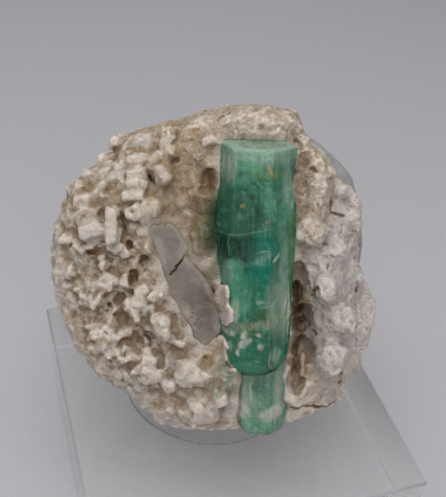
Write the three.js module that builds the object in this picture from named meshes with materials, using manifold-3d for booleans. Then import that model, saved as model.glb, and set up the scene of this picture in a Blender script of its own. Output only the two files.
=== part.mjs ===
// An emerald specimen on a clear display stand: a long six-sided emerald crystal and the stub of a
// second one, grown on a rough white feldspar matrix with grey quartz in its face and at its back.
// It leans back on a round seat on a thick square block. Millimetres, +Z up, the origin at the
// middle of the block's underside, the specimen facing -Y.
import * as THREE from "three";
import { mergeVertices } from "three/addons/utils/BufferGeometryUtils.js";
import Module from "manifold-3d";

const wasm = await Module();
wasm.setup();

const RAD = Math.PI / 180;

// ---- Driving dimensions ----
const BLOCK_SIDE = 63.5; // a 2.5 inch square block
const BLOCK_HEIGHT = 25.4;
const BLOCK_CHAMFER = 0.8;
const SEAT_RADIUS = 18.4;
const SEAT_HEIGHT = 1.0; // a thin round of clear sheet
const SEAT_EDGE = 0.4; // the rounding of the seat's rim
const SEAT_SIDE = -2.3; // where the seat's middle lies from the block's, along the turned axes
const SEAT_BACK = 3.8;
const DISPLAY_TURN = -19.5 * RAD; // the specimen is turned on its block
const FIT_GAP = 0.3; // the gap between neighbours that touch
const SLIVER = 0.15; // facets narrower than this are merged into their neighbours

// The specimen's face frame: u to the right, v up the leaning face, w out of it.
const FACE_UNIT = 1.03; // all that is given in the face frame below is in units of this many mm
const LEAN = 32.1 * RAD; // how far the face leans back from upright
const FACE_ROLL = 4.2 * RAD; // and how far it is rolled in its own plane
const FACE_SIDE = -0.6; // the face frame's middle, from the seat's middle
const FACE_BACK = -1.0;
const FACE_UP = 29.2; // and above the specimen's lowest face

// The rock's outline seen along w: angle from +u, radius, and the depth w of its widest rim.
const OUTLINE = [
  [0, 29.6, -12],
  [20, 29.2, -12],
  [36, 26.6, -11],
  [47, 26.4, -9],
  [56, 28.6, -8],
  [64, 31.2, -8],
  [74, 31.2, -8],
  [90, 29.4, -9],
  [104, 29.0, -9],
  [115, 29.6, -8],
  [125, 30.2, -7],
  [140, 30.0, -7],
  [158, 31.2, -8],
  [172, 31.4, -8],
  [188, 31.2, -7],
  [208, 30.4, -5],
  [224, 29.4, -3],
  [238, 29.2, -2],
  [252, 29.8, -1],
  [268, 30.2, 0],
  [286, 31.2, 0],
  [300, 33.0, -2],
  [314, 35.4, -5],
  [326, 34.8, -8],
  [342, 32.2, -11],
];
const FRONT_LEVEL = 4; // w of the rock's face at its middle
const BACK_LEVEL = -31; // w of its back at its middle
const FRONT_ROUNDING = 0.7; // below 1 the front dome is flatter than an ellipsoid
const BACK_ROUNDING = 0.8;
const ROCK_DETAIL = 12; // subdivisions of the sphere that the rock is shaped from

// Broad hills and hollows of the face: u, v, reach along u and v, height.
const RELIEF = [
  [9, 27, 12, 3.5, 3.5], // the ridge above the emerald's end
  [-10, 24, 9, 5, 1.5],
  [-17, -4, 8, 9, -2.0], // the vuggy left side is a little sunken
  [-5, -20, 10, 6, 1.2],
  [27, -4, 5, 20, -4.0], // the right flank falls away
  [21, -12, 4, 12, 2.0],
  [16, -12, 2.6, 9, -5.0], // the trough along the emerald's right side
  [4, 4, 5, 14, 0.8],
];
// Flat breaks at the back and sides: a direction in the face frame, its distance from the middle.
const BREAKS = [
  [[-0.35, 0.25, -0.9], 26],
  [[0.45, -0.1, -0.88], 26.5],
  [[0.05, 0.75, -0.66], 26],
  [[-0.85, -0.2, -0.49], 28.5],
  [[0.1, -0.45, -0.89], 31.5],
  [[0.82, 0.35, -0.45], 27],
  [[-0.6, 0.65, -0.47], 28],
  [[0.75, -0.5, -0.44], 31.5],
];
// Lumps and ledges fused to the rock: centre u, v, its height over the face, and three radii.
const LUMPS = [
  [18.0, 13.2, 1.0, 3.5, 7.8, 4.4], // the ledge to the right of the emerald's upper end
  [14.6, 20.8, 0.6, 3.0, 4.4, 4.0],
  [17.2, 7.6, 0.8, 3.4, 3.2, 3.6],
  [11.0, 26.0, 0.2, 4.6, 3.0, 4.2],
  [3.6, 25.6, 0.2, 5.0, 2.8, 4.4],
  [-4.5, 24.2, 0.0, 4.6, 3.0, 4.0],
  [-12.8, 22.8, -0.4, 4.6, 3.2, 3.8],
  [21.5, 3.2, 0.4, 3.2, 3.0, 3.0],
  [24.4, -2.0, 0.2, 3.4, 4.4, 3.4],
  [19.5, -3.0, 0.8, 2.8, 3.4, 3.0],
  [22.5, -9.0, 0.8, 3.4, 3.6, 3.4],
  [26.4, -12.0, 0.0, 3.4, 4.2, 3.4],
  [20.8, -15.5, 0.8, 3.2, 3.6, 3.4],
  [24.6, -19.0, 0.2, 3.4, 3.6, 3.6],
  [19.8, -22.0, 0.6, 3.6, 3.0, 3.4],
  [15.6, -26.0, 0.2, 3.8, 2.6, 3.0],
  [24.4, 8.2, 0.0, 3.2, 4.0, 3.4],
  [-2.2, 14.0, 0.4, 2.2, 4.4, 2.0], // the crust along the emerald's left side
  [-2.4, 7.0, 0.6, 2.0, 4.0, 2.2],
  [-11.5, -17.5, 0.2, 3.6, 3.0, 2.4],
  [-4.6, -17.5, 0.4, 3.2, 3.2, 2.4],
  [-20.5, -12.5, 0.2, 3.4, 3.4, 2.6],
  [-22.5, -4.5, 0.2, 3.0, 3.4, 2.6],
  [-14.5, -6.0, 0.4, 3.0, 2.6, 2.4],
  [-9.6, -9.6, 0.4, 2.4, 3.2, 2.2],
  [-3.0, -25.0, 0.2, 4.4, 3.0, 2.6],
  [-12.5, -23.5, 0.2, 3.6, 2.6, 2.4],
  [-27.0, 0.5, 0.2, 2.6, 3.6, 2.8],
  [-26.0, -10.5, 0.2, 2.8, 3.2, 2.8],
];
// Pits, vugs and clefts cut into the rock: centre u, v, its height, three radii, the turn about w.
const PITS = [
  [-13.1, 1.6, 0.4, 1.5, 2.6, 3.0, -25],
  [-23.0, 3.9, 0.6, 3.4, 1.3, 2.2, -12],
  [-16.4, 8.6, 0.6, 0.9, 3.0, 2.6, 8],
  [-11.7, 17.4, 0.6, 1.1, 2.8, 2.6, 22],
  [-19.6, -6.8, 0.4, 1.2, 1.5, 2.6, 0],
  [-12.6, -12.2, 0.4, 3.2, 2.0, 2.8, -35],
  [-10.5, -15.4, 0.4, 1.4, 2.2, 2.6, 20],
  [-7.2, 24.2, 0.4, 0.8, 2.6, 2.4, -14],
  [-2.2, 17.6, 1.0, 1.8, 2.0, 2.2, 0],
  [14.6, -1.8, 0.6, 1.6, 4.2, 5.2, 4],
  [15.8, -9.5, 0.4, 2.0, 3.4, 5.0, 0],
  [16.4, -15.0, 0.4, 2.0, 2.6, 4.6, 12],
  [14.9, -20.6, 0.4, 1.5, 3.4, 4.6, 0],
  [-1.6, -16.0, 0.6, 0.8, 0.9, 2.2, 0],
  [23.2, -22.6, 0.8, 0.7, 1.8, 2.2, -14],
  [14.8, 23.9, 1.8, 1.5, 0.9, 3.0, -30],
  [-24.5, 9.0, 0.2, 1.4, 1.8, 2.4, 30],
  [-6.0, 14.6, 0.6, 1.4, 1.0, 1.8, 0],
];
// The larger albite blades: centre u, v, its height, the size along its own u, v and w, the turn
// about w and the tilt about u.
const BLADES = [
  [-19.5, 20.0, 0.4, 4.0, 2.0, 2.6, 8, 10],
  [-17.2, 17.4, 0.5, 2.4, 4.2, 2.6, 6, -14],
  [-14.2, 15.4, 0.5, 3.6, 4.0, 2.8, -8, 8],
  [-9.3, 17.7, 0.6, 3.8, 3.4, 2.8, -52, 12],
  [-18.2, 8.8, 0.6, 2.8, 6.0, 3.0, 0, -6],
  [-22.0, 7.4, 0.5, 4.6, 4.4, 3.0, 12, 10],
  [-27.2, 5.0, 0.0, 3.4, 1.7, 3.2, -8, 0],
  [-23.6, 4.9, 0.5, 3.2, 1.3, 2.6, -6, 14],
  [-20.3, 1.8, 0.5, 1.0, 2.8, 2.6, 20, 0],
  [-25.2, 11.2, 0.2, 3.6, 3.2, 3.2, 20, 10],
  [-14.4, 11.0, 0.5, 3.6, 3.0, 2.8, 14, -8],
  [-16.3, -11.4, 0.4, 3.0, 1.6, 2.4, 14, 8],
  [-22.8, 17.0, 0.2, 3.2, 3.0, 3.0, 34, 0],
  [-8.0, 21.6, 0.4, 2.4, 1.6, 2.4, -24, 10],
  [-14.6, 20.2, 0.4, 2.8, 2.2, 2.4, 30, 12],
  [-11.0, 12.0, 0.4, 3.0, 2.6, 2.4, -20, 0],
  [-27.4, -2.2, 0.0, 2.6, 2.2, 3.0, 24, 8],
  [-16.8, 4.4, 0.4, 3.2, 2.2, 2.6, -28, 6],
  [-10.6, 5.2, 0.4, 2.4, 2.8, 2.4, 18, 0],
  [-20.0, -2.4, 0.4, 3.2, 2.2, 2.6, 6, 14],
  [-16.0, -1.6, 0.4, 2.4, 2.8, 2.4, -16, -8],
  [-10.2, -3.6, 0.4, 2.4, 2.4, 2.4, 30, 8],
  [-24.2, -7.6, 0.3, 3.0, 2.4, 2.8, -14, 6],
  [-16.4, -15.6, 0.4, 3.0, 2.4, 2.6, 22, -6],
  [-21.6, -16.0, 0.3, 2.8, 2.6, 2.8, -18, 8],
  [-8.6, -20.6, 0.4, 2.8, 2.2, 2.4, 12, 8],
  [-16.0, -21.0, 0.3, 3.0, 2.2, 2.6, 34, 0],
  [-6.4, -12.6, 0.4, 2.4, 2.2, 2.4, -12, 0],
  [-8.0, -25.0, 0.3, 2.8, 2.2, 2.6, -22, 8],
  [1.0, -22.8, 0.3, 2.6, 2.2, 2.4, 16, 0],
  [-18.0, 22.6, 0.0, 2.4, 2.4, 3.0, -20, 12],
  [-21.0, 12.6, 0.4, 2.6, 3.2, 2.8, -12, 6],
];

// The emerald and the stub are six-sided prisms along v. Each section: v, centre u and w, radius.
const PRISM_TURN = -10 * RAD; // the first corner's angle from +u, turning away from the viewer
const EMERALD_SECTIONS = [
  [23.0, 7.4, 3.4, 6.3],
  [22.6, 7.37, 3.4, 6.75],
  [19.2, 7.1, 3.4, 6.65],
  [15.6, 6.9, 3.4, 6.55],
  [12.4, 6.75, 3.4, 7.3],
  [7.4, 6.75, 3.4, 7.36],
  [7.0, 6.75, 3.3, 7.2],
  [2.2, 6.6, 3.3, 7.24],
  [1.4, 6.7, 3.2, 7.0],
  [-4.5, 6.7, 3.1, 6.75],
  [-11.6, 6.75, 3.0, 6.5],
  [-14.2, 6.6, 3.0, 6.3],
  [-16.2, 6.4, 2.8, 5.7],
  [-17.3, 6.3, 2.6, 4.4],
  [-17.8, 6.2, 2.5, 2.4],
];
const END_SLOPE = [0.04, 0.16]; // how far the emerald's upper end drops along u and towards the viewer
const END_RECESS = [
  [24.1, 7.4, 3.4, 6.4], // the rock stands back over that end
  [22.0, 7.37, 3.4, 6.75],
];
const STUB_SECTIONS = [
  [-12.5, 7.6, -0.6, 5.0],
  [-18.0, 7.8, -0.4, 5.2],
  [-24.0, 7.9, -0.2, 5.15],
  [-28.0, 8.0, -0.1, 4.9],
  [-29.4, 8.1, 0.1, 4.2],
  [-30.0, 8.2, 0.2, 2.6],
];

// The grey quartz grain in the face: its outline in u, v, and how far it reaches along w.
const FACE_QUARTZ_OUTLINE = [
  [-11.8, 8.4],
  [-10.5, 4.9],
  [-9.3, 1.7],
  [-8.1, -1.2],
  [-7.7, -3.4],
  [-5.0, -7.9],
  [-3.9, -9.3],
  [-3.6, -11.1],
  [-2.2, -12.6],
  [0.6, -10.1],
  [1.2, -7.8],
  [-2.1, -1.2],
  [-3.8, 0.9],
  [-5.6, 3.1],
  [-5.3, 4.9],
  [-7.6, 8.6],
];
const FACE_QUARTZ_DEPTHS = [-4.5, 3.3];
// The quartz mass at the back: its middle, the half sizes it is broken from, the turn about w and
// the flat breaks around it. It shows past the rock's upper right edge.
const BACK_QUARTZ_CENTRE = [0.8, 3.4, -16];
const BACK_QUARTZ_RADII = [31, 27, 9];
const BACK_QUARTZ_TURN = 18;
const BACK_QUARTZ_BREAKS = [
  [[0.64, 0.77, 0], 26.4],
  [[0.79, 0.61, 0], 28],
  [[0.98, 0.2, -0.1], 27],
  [[0, 0.98, -0.2], 21.5],
  [[-0.5, 0.83, -0.25], 21],
  [[-0.95, -0.1, -0.3], 27],
  [[0.4, -0.86, -0.3], 22],
  [[0.1, 0.05, -1], 8.5],
  [[-0.55, 0.2, -0.81], 14.5],
  [[0.6, -0.15, -0.79], 15.5],
  [[0.15, 0.72, -0.68], 15.5],
  [[-0.1, -0.72, -0.69], 18],
];

// ---- Colours ----
const CLEAR = { color: 0xdfe6e8, roughness: 0.05, metalness: 0, transparent: true, opacity: 0.35 };
const ALBITE = { color: 0xcfc6b8, roughness: 0.8, metalness: 0 };
const EMERALD = { color: 0x1f7d5f, roughness: 0.35, metalness: 0 };
const PALE_EMERALD = { color: 0x6fa48c, roughness: 0.4, metalness: 0 };
const QUARTZ = { color: 0x8f8a88, roughness: 0.35, metalness: 0 };

// ---- Helpers ----
// A smooth repeatable number from 0 to 1 at a point, the source of the rock's unevenness.
function cellValue(x, y, z) {
  const s = Math.sin(x * 127.1 + y * 311.7 + z * 74.7) * 43758.5453;
  return s - Math.floor(s);
}

function smoothNoise(point, scale, seed) {
  const p = [point.x / scale + seed, point.y / scale - seed, point.z / scale + 2 * seed];
  const cell = p.map(Math.floor);
  const t = p.map((value, i) => {
    const f = value - cell[i];
    return f * f * (3 - 2 * f);
  });
  let sum = 0;
  for (let corner = 0; corner < 8; corner++) {
    const step = [corner & 1, (corner >> 1) & 1, corner >> 2];
    const weight = step.reduce((product, s, i) => product * (s ? t[i] : 1 - t[i]), 1);
    sum += weight * cellValue(cell[0] + step[0], cell[1] + step[1], cell[2] + step[2]);
  }
  return sum;
}

function gaussian(distance) {
  return Math.exp(-distance * distance);
}

// A column of OUTLINE at an angle in degrees, eased between its neighbours.
function outlineAt(angle, column) {
  const turn = ((angle % 360) + 360) % 360;
  const count = OUTLINE.length;
  let i = count - 1;
  while (i > 0 && OUTLINE[i][0] > turn) i--;
  const from = OUTLINE[i];
  const to = OUTLINE[(i + 1) % count];
  const span = (to[0] - from[0] + 360) % 360;
  const t = (turn - from[0]) / span;
  return THREE.MathUtils.lerp(from[column], to[column], t * t * (3 - 2 * t));
}

// A closed geometry as a manifold solid, and back.
function solidOf(geometry) {
  const bare = geometry.clone();
  bare.deleteAttribute("normal");
  bare.deleteAttribute("uv");
  const merged = mergeVertices(bare, 1e-4);
  return new wasm.Manifold(
    new wasm.Mesh({
      numProp: 3,
      vertProperties: new Float32Array(merged.attributes.position.array),
      triVerts: new Uint32Array(merged.index.array),
    }),
  );
}

function geometryOf(solid) {
  const mesh = solid.getMesh();
  const geometry = new THREE.BufferGeometry();
  geometry.setAttribute("position", new THREE.BufferAttribute(mesh.vertProperties, 3));
  geometry.setIndex(new THREE.BufferAttribute(mesh.triVerts, 1));
  const flat = geometry.toNonIndexed();
  flat.computeVertexNormals();
  return flat;
}

// Moves every vertex of a sphere of unit radius to where place(direction) says.
function shapedSphere(detail, place) {
  const geometry = new THREE.IcosahedronGeometry(1, detail);
  const position = geometry.attributes.position;
  const direction = new THREE.Vector3();
  for (let i = 0; i < position.count; i++) {
    direction.fromBufferAttribute(position, i).normalize();
    // Copies of a shared vertex must land on the same point, so the direction is rounded first.
    direction.set(...direction.toArray().map((value) => Math.round(value * 1e5) / 1e5));
    const point = place(direction);
    position.setXYZ(i, point.x, point.y, point.z);
  }
  return geometry;
}

// Presses a point back to the flat breaks it lies outside of.
function heldInside(point, breaks) {
  for (const [normal, distance] of breaks) {
    const n = new THREE.Vector3(...normal).normalize();
    const over = point.dot(n) - distance;
    if (over > 0) point.addScaledVector(n, -0.94 * over);
  }
  return point;
}

// A ball with unequal radii, an uneven skin and flat breaks, turned about w.
function roughBall({ centre, radii, turn, detail, roughness, breaks = [], grow = 0 }) {
  const middle = new THREE.Vector3(...centre);
  const turned = new THREE.Quaternion().setFromAxisAngle(new THREE.Vector3(0, 0, 1), turn * RAD);
  const spacing = Math.max(...radii) * 0.55;
  return shapedSphere(detail, (direction) => {
    const bare = direction.clone().multiply(new THREE.Vector3(...radii));
    const uneven = 1 + roughness * (2 * smoothNoise(bare.clone().add(middle), spacing, 7) - 1);
    const point = heldInside(bare.multiplyScalar(uneven).applyQuaternion(turned), breaks);
    return point.addScaledVector(direction.clone().applyQuaternion(turned), grow).add(middle);
  });
}

// A six-sided prism along v through the given sections, closed at both ends. Its first two sections
// drop by the slope along u and w.
function prism(sections, grow = 0, slope = [0, 0]) {
  const corners = [];
  const last = sections.length - 1;
  sections.forEach(([v, u, w, radius], level) => {
    const endShift = level === 0 ? grow : level === last ? -grow : 0;
    for (let k = 0; k < 6; k++) {
      const angle = PRISM_TURN + k * 60 * RAD;
      const reach = radius + grow / Math.cos(30 * RAD);
      const [du, dw] = [reach * Math.cos(angle), -reach * Math.sin(angle)];
      const drop = level < 2 ? slope[0] * du + slope[1] * dw : 0;
      corners.push([u + du, v + endShift - drop, w + dw]);
    }
  });
  const position = [];
  const face = (...indices) => indices.forEach((i) => position.push(...corners[i]));
  for (let level = 0; level < last; level++) {
    for (let k = 0; k < 6; k++) {
      const a = level * 6 + k;
      const b = level * 6 + ((k + 1) % 6);
      face(a, a + 6, b);
      face(b, a + 6, b + 6);
    }
  }
  for (let k = 1; k < 5; k++) {
    face(0, k, k + 1);
    face(last * 6, last * 6 + k + 1, last * 6 + k);
  }
  const geometry = new THREE.BufferGeometry();
  geometry.setAttribute("position", new THREE.Float32BufferAttribute(position, 3));
  return solidOf(geometry);
}

// An outline in u, v pushed out by gap along each corner's outward bisector.
function grownOutline(points, gap) {
  const count = points.length;
  const area = points.reduce((sum, [u, v], i) => {
    const [nu, nv] = points[(i + 1) % count];
    return sum + (u * nv - nu * v) / 2;
  }, 0);
  return points.map(([u, v], i) => {
    const before = new THREE.Vector2(...points[(i + count - 1) % count]);
    const after = new THREE.Vector2(...points[(i + 1) % count]);
    const here = new THREE.Vector2(u, v);
    const inward = here.clone().sub(before).normalize();
    const onward = after.clone().sub(here).normalize();
    const along = inward.add(onward).normalize();
    const outward = new THREE.Vector2(along.y, -along.x).multiplyScalar(Math.sign(area) * gap);
    return here.add(outward).toArray();
  });
}

function slab(outline, [low, high]) {
  const shape = new THREE.Shape(outline.map(([u, v]) => new THREE.Vector2(u, v)));
  const geometry = new THREE.ExtrudeGeometry(shape, { depth: high - low, bevelEnabled: false });
  return solidOf(geometry.translate(0, 0, low));
}

// From the face frame to the specimen's own frame: z up, the seat's top at z = 0.
const faceToSpecimen = new THREE.Matrix4()
  .makeTranslation(FACE_SIDE, FACE_BACK, FACE_UP)
  .multiply(new THREE.Matrix4().makeRotationX(Math.PI / 2 - LEAN))
  .multiply(new THREE.Matrix4().makeRotationZ(FACE_ROLL))
  .scale(new THREE.Vector3(FACE_UNIT, FACE_UNIT, FACE_UNIT));

function inSpecimen(solid) {
  return solid.transform(faceToSpecimen.toArray());
}

// Cuts away everything below the seat's top.
function cutAtSeat(solid) {
  const size = 200;
  const below = solidOf(new THREE.BoxGeometry(size, size, size).translate(0, 0, -size / 2));
  return solid.subtract(below);
}

// ---- The rock ----
function rockPoint(direction) {
  const angle = Math.atan2(direction.y, direction.x);
  const spread = Math.hypot(direction.x, direction.y);
  const radius = outlineAt(angle / RAD, 1);
  const rim = outlineAt(angle / RAD, 2);
  const level =
    direction.z >= 0
      ? rim + (FRONT_LEVEL - rim) * Math.pow(direction.z, FRONT_ROUNDING)
      : rim + (BACK_LEVEL - rim) * Math.pow(-direction.z, BACK_ROUNDING);
  const point = new THREE.Vector3(
    radius * spread * Math.cos(angle),
    radius * spread * Math.sin(angle),
    level,
  );
  const facing = THREE.MathUtils.smoothstep(direction.z, 0.05, 0.4);
  for (const [u, v, reachU, reachV, height] of RELIEF) {
    point.z += facing * height * gaussian(Math.hypot((point.x - u) / reachU, (point.y - v) / reachV));
  }
  heldInside(point, BREAKS);
  const coarse = 2 * smoothNoise(point, 7, 3) - 1;
  const medium = 2 * smoothNoise(point, 3.6, 11) - 1;
  return point.addScaledVector(direction, 1.0 * coarse + 1.0 * medium);
}

// The level w of the rock's face at u, v, from the nearest corners of its skin.
function faceLevel(skin, u, v) {
  const position = skin.attributes.position;
  const corner = new THREE.Vector3();
  let sum = 0;
  let weights = 0;
  for (let i = 0; i < position.count; i++) {
    corner.fromBufferAttribute(position, i);
    if (corner.z < -14) continue;
    const weight = gaussian(Math.hypot(corner.x - u, corner.y - v) / 1.6);
    sum += weight * corner.z;
    weights += weight;
  }
  return sum / weights;
}

// A tabular crystal: a block that narrows towards its free end.
function blade([u, v, w, lengthU, lengthV, lengthW, turn, tilt]) {
  const geometry = new THREE.BoxGeometry(lengthU, lengthV, lengthW);
  const position = geometry.attributes.position;
  const taper = 0.86;
  for (let i = 0; i < position.count; i++) {
    if (position.getZ(i) > 0) {
      position.setXY(i, position.getX(i) * taper, position.getY(i) * taper);
    }
  }
  geometry.rotateX(tilt * RAD).rotateZ(turn * RAD).translate(u, v, w);
  return solidOf(geometry);
}

function makeRock(pockets) {
  const skin = shapedSphere(ROCK_DETAIL, rockPoint);
  const lumps = LUMPS.map(([u, v, height, ...radii]) => {
    const centre = [u, v, faceLevel(skin, u, v) + height];
    return solidOf(roughBall({ centre, radii, turn: 0, detail: 1, roughness: 0.3 }));
  });
  const pits = PITS.map(([u, v, height, ru, rv, rw, turn]) => {
    const centre = [u, v, faceLevel(skin, u, v) + height];
    return solidOf(roughBall({ centre, radii: [ru, rv, rw], turn, detail: 0, roughness: 0.25 }));
  });
  const blades = BLADES.map(([u, v, height, ...shape]) =>
    blade([u, v, faceLevel(skin, u, v) + height, ...shape]),
  );
  let rock = wasm.Manifold.union([solidOf(skin), ...lumps]);
  rock = rock.subtract(wasm.Manifold.union(pits));
  rock = wasm.Manifold.union([rock, ...blades]);
  rock = rock.subtract(wasm.Manifold.union(pockets));
  const pieces = cutAtSeat(inSpecimen(rock)).simplify(SLIVER).decompose();
  return pieces.sort((a, b) => b.volume() - a.volume())[0];
}

// ---- The stand ----
function blockGeometry() {
  const half = BLOCK_SIDE / 2 - BLOCK_CHAMFER;
  const shape = new THREE.Shape([
    new THREE.Vector2(-half, -half),
    new THREE.Vector2(half, -half),
    new THREE.Vector2(half, half),
    new THREE.Vector2(-half, half),
  ]);
  return new THREE.ExtrudeGeometry(shape, {
    depth: BLOCK_HEIGHT - 2 * BLOCK_CHAMFER,
    bevelThickness: BLOCK_CHAMFER,
    bevelSize: BLOCK_CHAMFER,
    bevelSegments: 1,
  }).translate(0, 0, BLOCK_CHAMFER);
}

function seatGeometry() {
  const inner = SEAT_RADIUS - SEAT_EDGE;
  const profile = [new THREE.Vector2(0, 0), new THREE.Vector2(SEAT_RADIUS - 0.2, 0)];
  profile.push(new THREE.Vector2(SEAT_RADIUS, 0.2));
  const steps = 2;
  for (let i = 0; i <= steps; i++) {
    const angle = (i / steps) * 90 * RAD;
    profile.push(
      new THREE.Vector2(
        inner + SEAT_EDGE * Math.cos(angle),
        SEAT_HEIGHT - SEAT_EDGE + SEAT_EDGE * Math.sin(angle),
      ),
    );
  }
  profile.push(new THREE.Vector2(0, SEAT_HEIGHT));
  return new THREE.LatheGeometry(profile, 48).rotateX(Math.PI / 2);
}

// ---- Assembly ----
function mesh(name, geometry, finish) {
  const made = new THREE.Mesh(geometry, new THREE.MeshStandardMaterial(finish));
  made.name = name;
  return made;
}

const emerald = prism(EMERALD_SECTIONS, 0, END_SLOPE);
const emeraldPocket = prism(EMERALD_SECTIONS, FIT_GAP, END_SLOPE);
const endRecess = prism(END_RECESS, FIT_GAP);
const stub = prism(STUB_SECTIONS).subtract(emeraldPocket);
const stubPocket = prism(STUB_SECTIONS, FIT_GAP);
const faceQuartz = slab(FACE_QUARTZ_OUTLINE, FACE_QUARTZ_DEPTHS)
  .subtract(emeraldPocket)
  .subtract(stubPocket);
const faceQuartzPocket = slab(grownOutline(FACE_QUARTZ_OUTLINE, FIT_GAP), [
  FACE_QUARTZ_DEPTHS[0] - FIT_GAP,
  FACE_QUARTZ_DEPTHS[1] + 6,
]);
const backQuartzMass = (grow) =>
  solidOf(
    roughBall({
      centre: BACK_QUARTZ_CENTRE,
      radii: BACK_QUARTZ_RADII,
      turn: BACK_QUARTZ_TURN,
      detail: 5,
      roughness: 0.1,
      breaks: BACK_QUARTZ_BREAKS,
      grow,
    }),
  );
const backQuartz = backQuartzMass(0).subtract(stubPocket).subtract(emeraldPocket);
const rock = makeRock([
  emeraldPocket,
  endRecess,
  stubPocket,
  faceQuartzPocket,
  backQuartzMass(FIT_GAP),
]);

const specimen = new THREE.Group();
specimen.position.set(SEAT_SIDE, SEAT_BACK, BLOCK_HEIGHT + SEAT_HEIGHT + FIT_GAP);
specimen.add(mesh("matrix", geometryOf(rock), ALBITE));
specimen.add(mesh("emerald_crystal", geometryOf(inSpecimen(emerald)), EMERALD));
specimen.add(mesh("emerald_stub", geometryOf(cutAtSeat(inSpecimen(stub))), PALE_EMERALD));
specimen.add(mesh("face_quartz", geometryOf(inSpecimen(faceQuartz)), QUARTZ));
specimen.add(mesh("back_quartz", geometryOf(cutAtSeat(inSpecimen(backQuartz))), QUARTZ));

const seat = mesh("seat_disc", seatGeometry(), CLEAR);
seat.position.set(SEAT_SIDE, SEAT_BACK, BLOCK_HEIGHT);

const display = new THREE.Group();
display.rotation.z = DISPLAY_TURN;
display.add(seat, specimen);

const group = new THREE.Group();
group.add(mesh("base_block", blockGeometry(), CLEAR), display);
export default group;
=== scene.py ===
"""Looks of an emerald specimen on a clear display block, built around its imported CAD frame.

Laid out as a Blender add-on and run as a script: every piece has its operator, and main() calls them.
"""

import math

import bpy
import numpy as np
from mathutils import Matrix, Vector
from mathutils.bvhtree import BVHTree


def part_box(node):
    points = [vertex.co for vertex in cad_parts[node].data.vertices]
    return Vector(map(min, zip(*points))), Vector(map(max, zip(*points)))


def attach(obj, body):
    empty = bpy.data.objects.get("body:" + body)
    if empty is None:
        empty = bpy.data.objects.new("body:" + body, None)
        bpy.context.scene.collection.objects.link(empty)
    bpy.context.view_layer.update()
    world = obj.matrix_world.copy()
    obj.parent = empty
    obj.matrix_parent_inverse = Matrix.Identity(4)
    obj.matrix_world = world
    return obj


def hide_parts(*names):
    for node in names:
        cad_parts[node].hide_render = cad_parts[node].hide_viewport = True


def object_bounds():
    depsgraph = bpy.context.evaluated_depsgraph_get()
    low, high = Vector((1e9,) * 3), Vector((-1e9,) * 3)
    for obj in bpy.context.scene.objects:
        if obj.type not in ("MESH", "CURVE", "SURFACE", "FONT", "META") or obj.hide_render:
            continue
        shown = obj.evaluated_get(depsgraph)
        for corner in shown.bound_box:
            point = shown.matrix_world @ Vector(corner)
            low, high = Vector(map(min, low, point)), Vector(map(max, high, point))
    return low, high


bl_info = {
    "name": "Emerald specimen",
    "version": (1, 0, 0),
    "blender": (4, 5, 0),
    "location": "3D View > Sidebar > Specimen",
    "description": "Builds an emerald on its feldspar matrix and the clear stand under it",
    "category": "Object",
}

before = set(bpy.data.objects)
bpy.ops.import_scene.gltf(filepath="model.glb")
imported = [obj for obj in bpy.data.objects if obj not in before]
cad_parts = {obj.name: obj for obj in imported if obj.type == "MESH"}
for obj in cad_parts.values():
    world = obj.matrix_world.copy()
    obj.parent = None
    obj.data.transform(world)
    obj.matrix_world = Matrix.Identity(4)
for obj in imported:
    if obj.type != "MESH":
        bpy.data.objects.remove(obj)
CAD_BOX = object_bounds()

MM = 0.001
SEED = 41
DISPLAY_TURN = math.radians(-19.5)  # the specimen is turned on its block
LEAN = math.radians(32.1)  # and leans back on its seat
FACE_ROLL = math.radians(4.2)
FACE_UNIT = 1.03 * MM
FACE_SIDE = -0.6 * MM  # where the face's middle lies from the seat's
FACE_BACK = -1.0 * MM
FACE_UP = 29.5 * MM
HAIRLINE = 0.05 * MM  # the air between the seat and the block under it
SEAT_GAP = 0.06 * MM  # the air between the rock and its seat
FLOOR_LEVEL = -0.03 * MM  # just under the block, so that the two share no surface
ROCK_TRIANGLES = 198000
IN_FRONT = 20.0  # a place on w well in front of the specimen, in face units

# The specimen's face frame: u to the right, v up the leaning face, w out of it, in face units.
seat_low, seat_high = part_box("seat_disc")
SEAT_TOP = Vector(((seat_low.x + seat_high.x) / 2, (seat_low.y + seat_high.y) / 2, seat_high.z))
FACE = (
    Matrix.Translation(SEAT_TOP)
    @ Matrix.Rotation(DISPLAY_TURN, 4, "Z")
    @ Matrix.Translation((FACE_SIDE, FACE_BACK, FACE_UP))
    @ Matrix.Rotation(math.pi / 2 - LEAN, 4, "X")
    @ Matrix.Rotation(FACE_ROLL, 4, "Z")
)
FACE_ARRAY = np.array(FACE)
FACE_TURN = FACE_ARRAY[:3, :3]
FACE_OUT = Vector(FACE_TURN[:, 2])

# The camera, before it is turned about the block's upright axis.
CAMERA_TURN = math.radians(-20.4)
CAMERA_PLACE = Vector((-2.09, -106.11, 157.12)) * MM
CAMERA_TILT = math.radians(90 - 41.27)
CAMERA_ROLL = math.radians(4.76)
IMAGE_HEIGHT = 497  # pixels
FOCAL_LENGTH = 800  # in the same pixels
SENSOR_HEIGHT = 36.0


# ---- Places and noise on arrays of points ----
def to_face(points):
    """Points of the frame, in metres, as u, v, w in face units."""
    return (points - FACE_ARRAY[:3, 3]) @ FACE_TURN / FACE_UNIT


def from_face(points):
    """u, v, w in face units as points of the frame, in metres."""
    return points * FACE_UNIT @ FACE_TURN.T + FACE_ARRAY[:3, 3]


def lattice(cell, seed):
    """A repeatable number from 0 to 1 for each whole-number cell."""
    n = (cell[..., 0] * 374761393 + cell[..., 1] * 668265263 + cell[..., 2] * 982451653 + seed * 69069)
    n = n & 0xFFFFFFFF
    n = ((n ^ (n >> 13)) * 1274126177) & 0xFFFFFFFF
    return (n ^ (n >> 16)) / 4294967295.0


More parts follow.
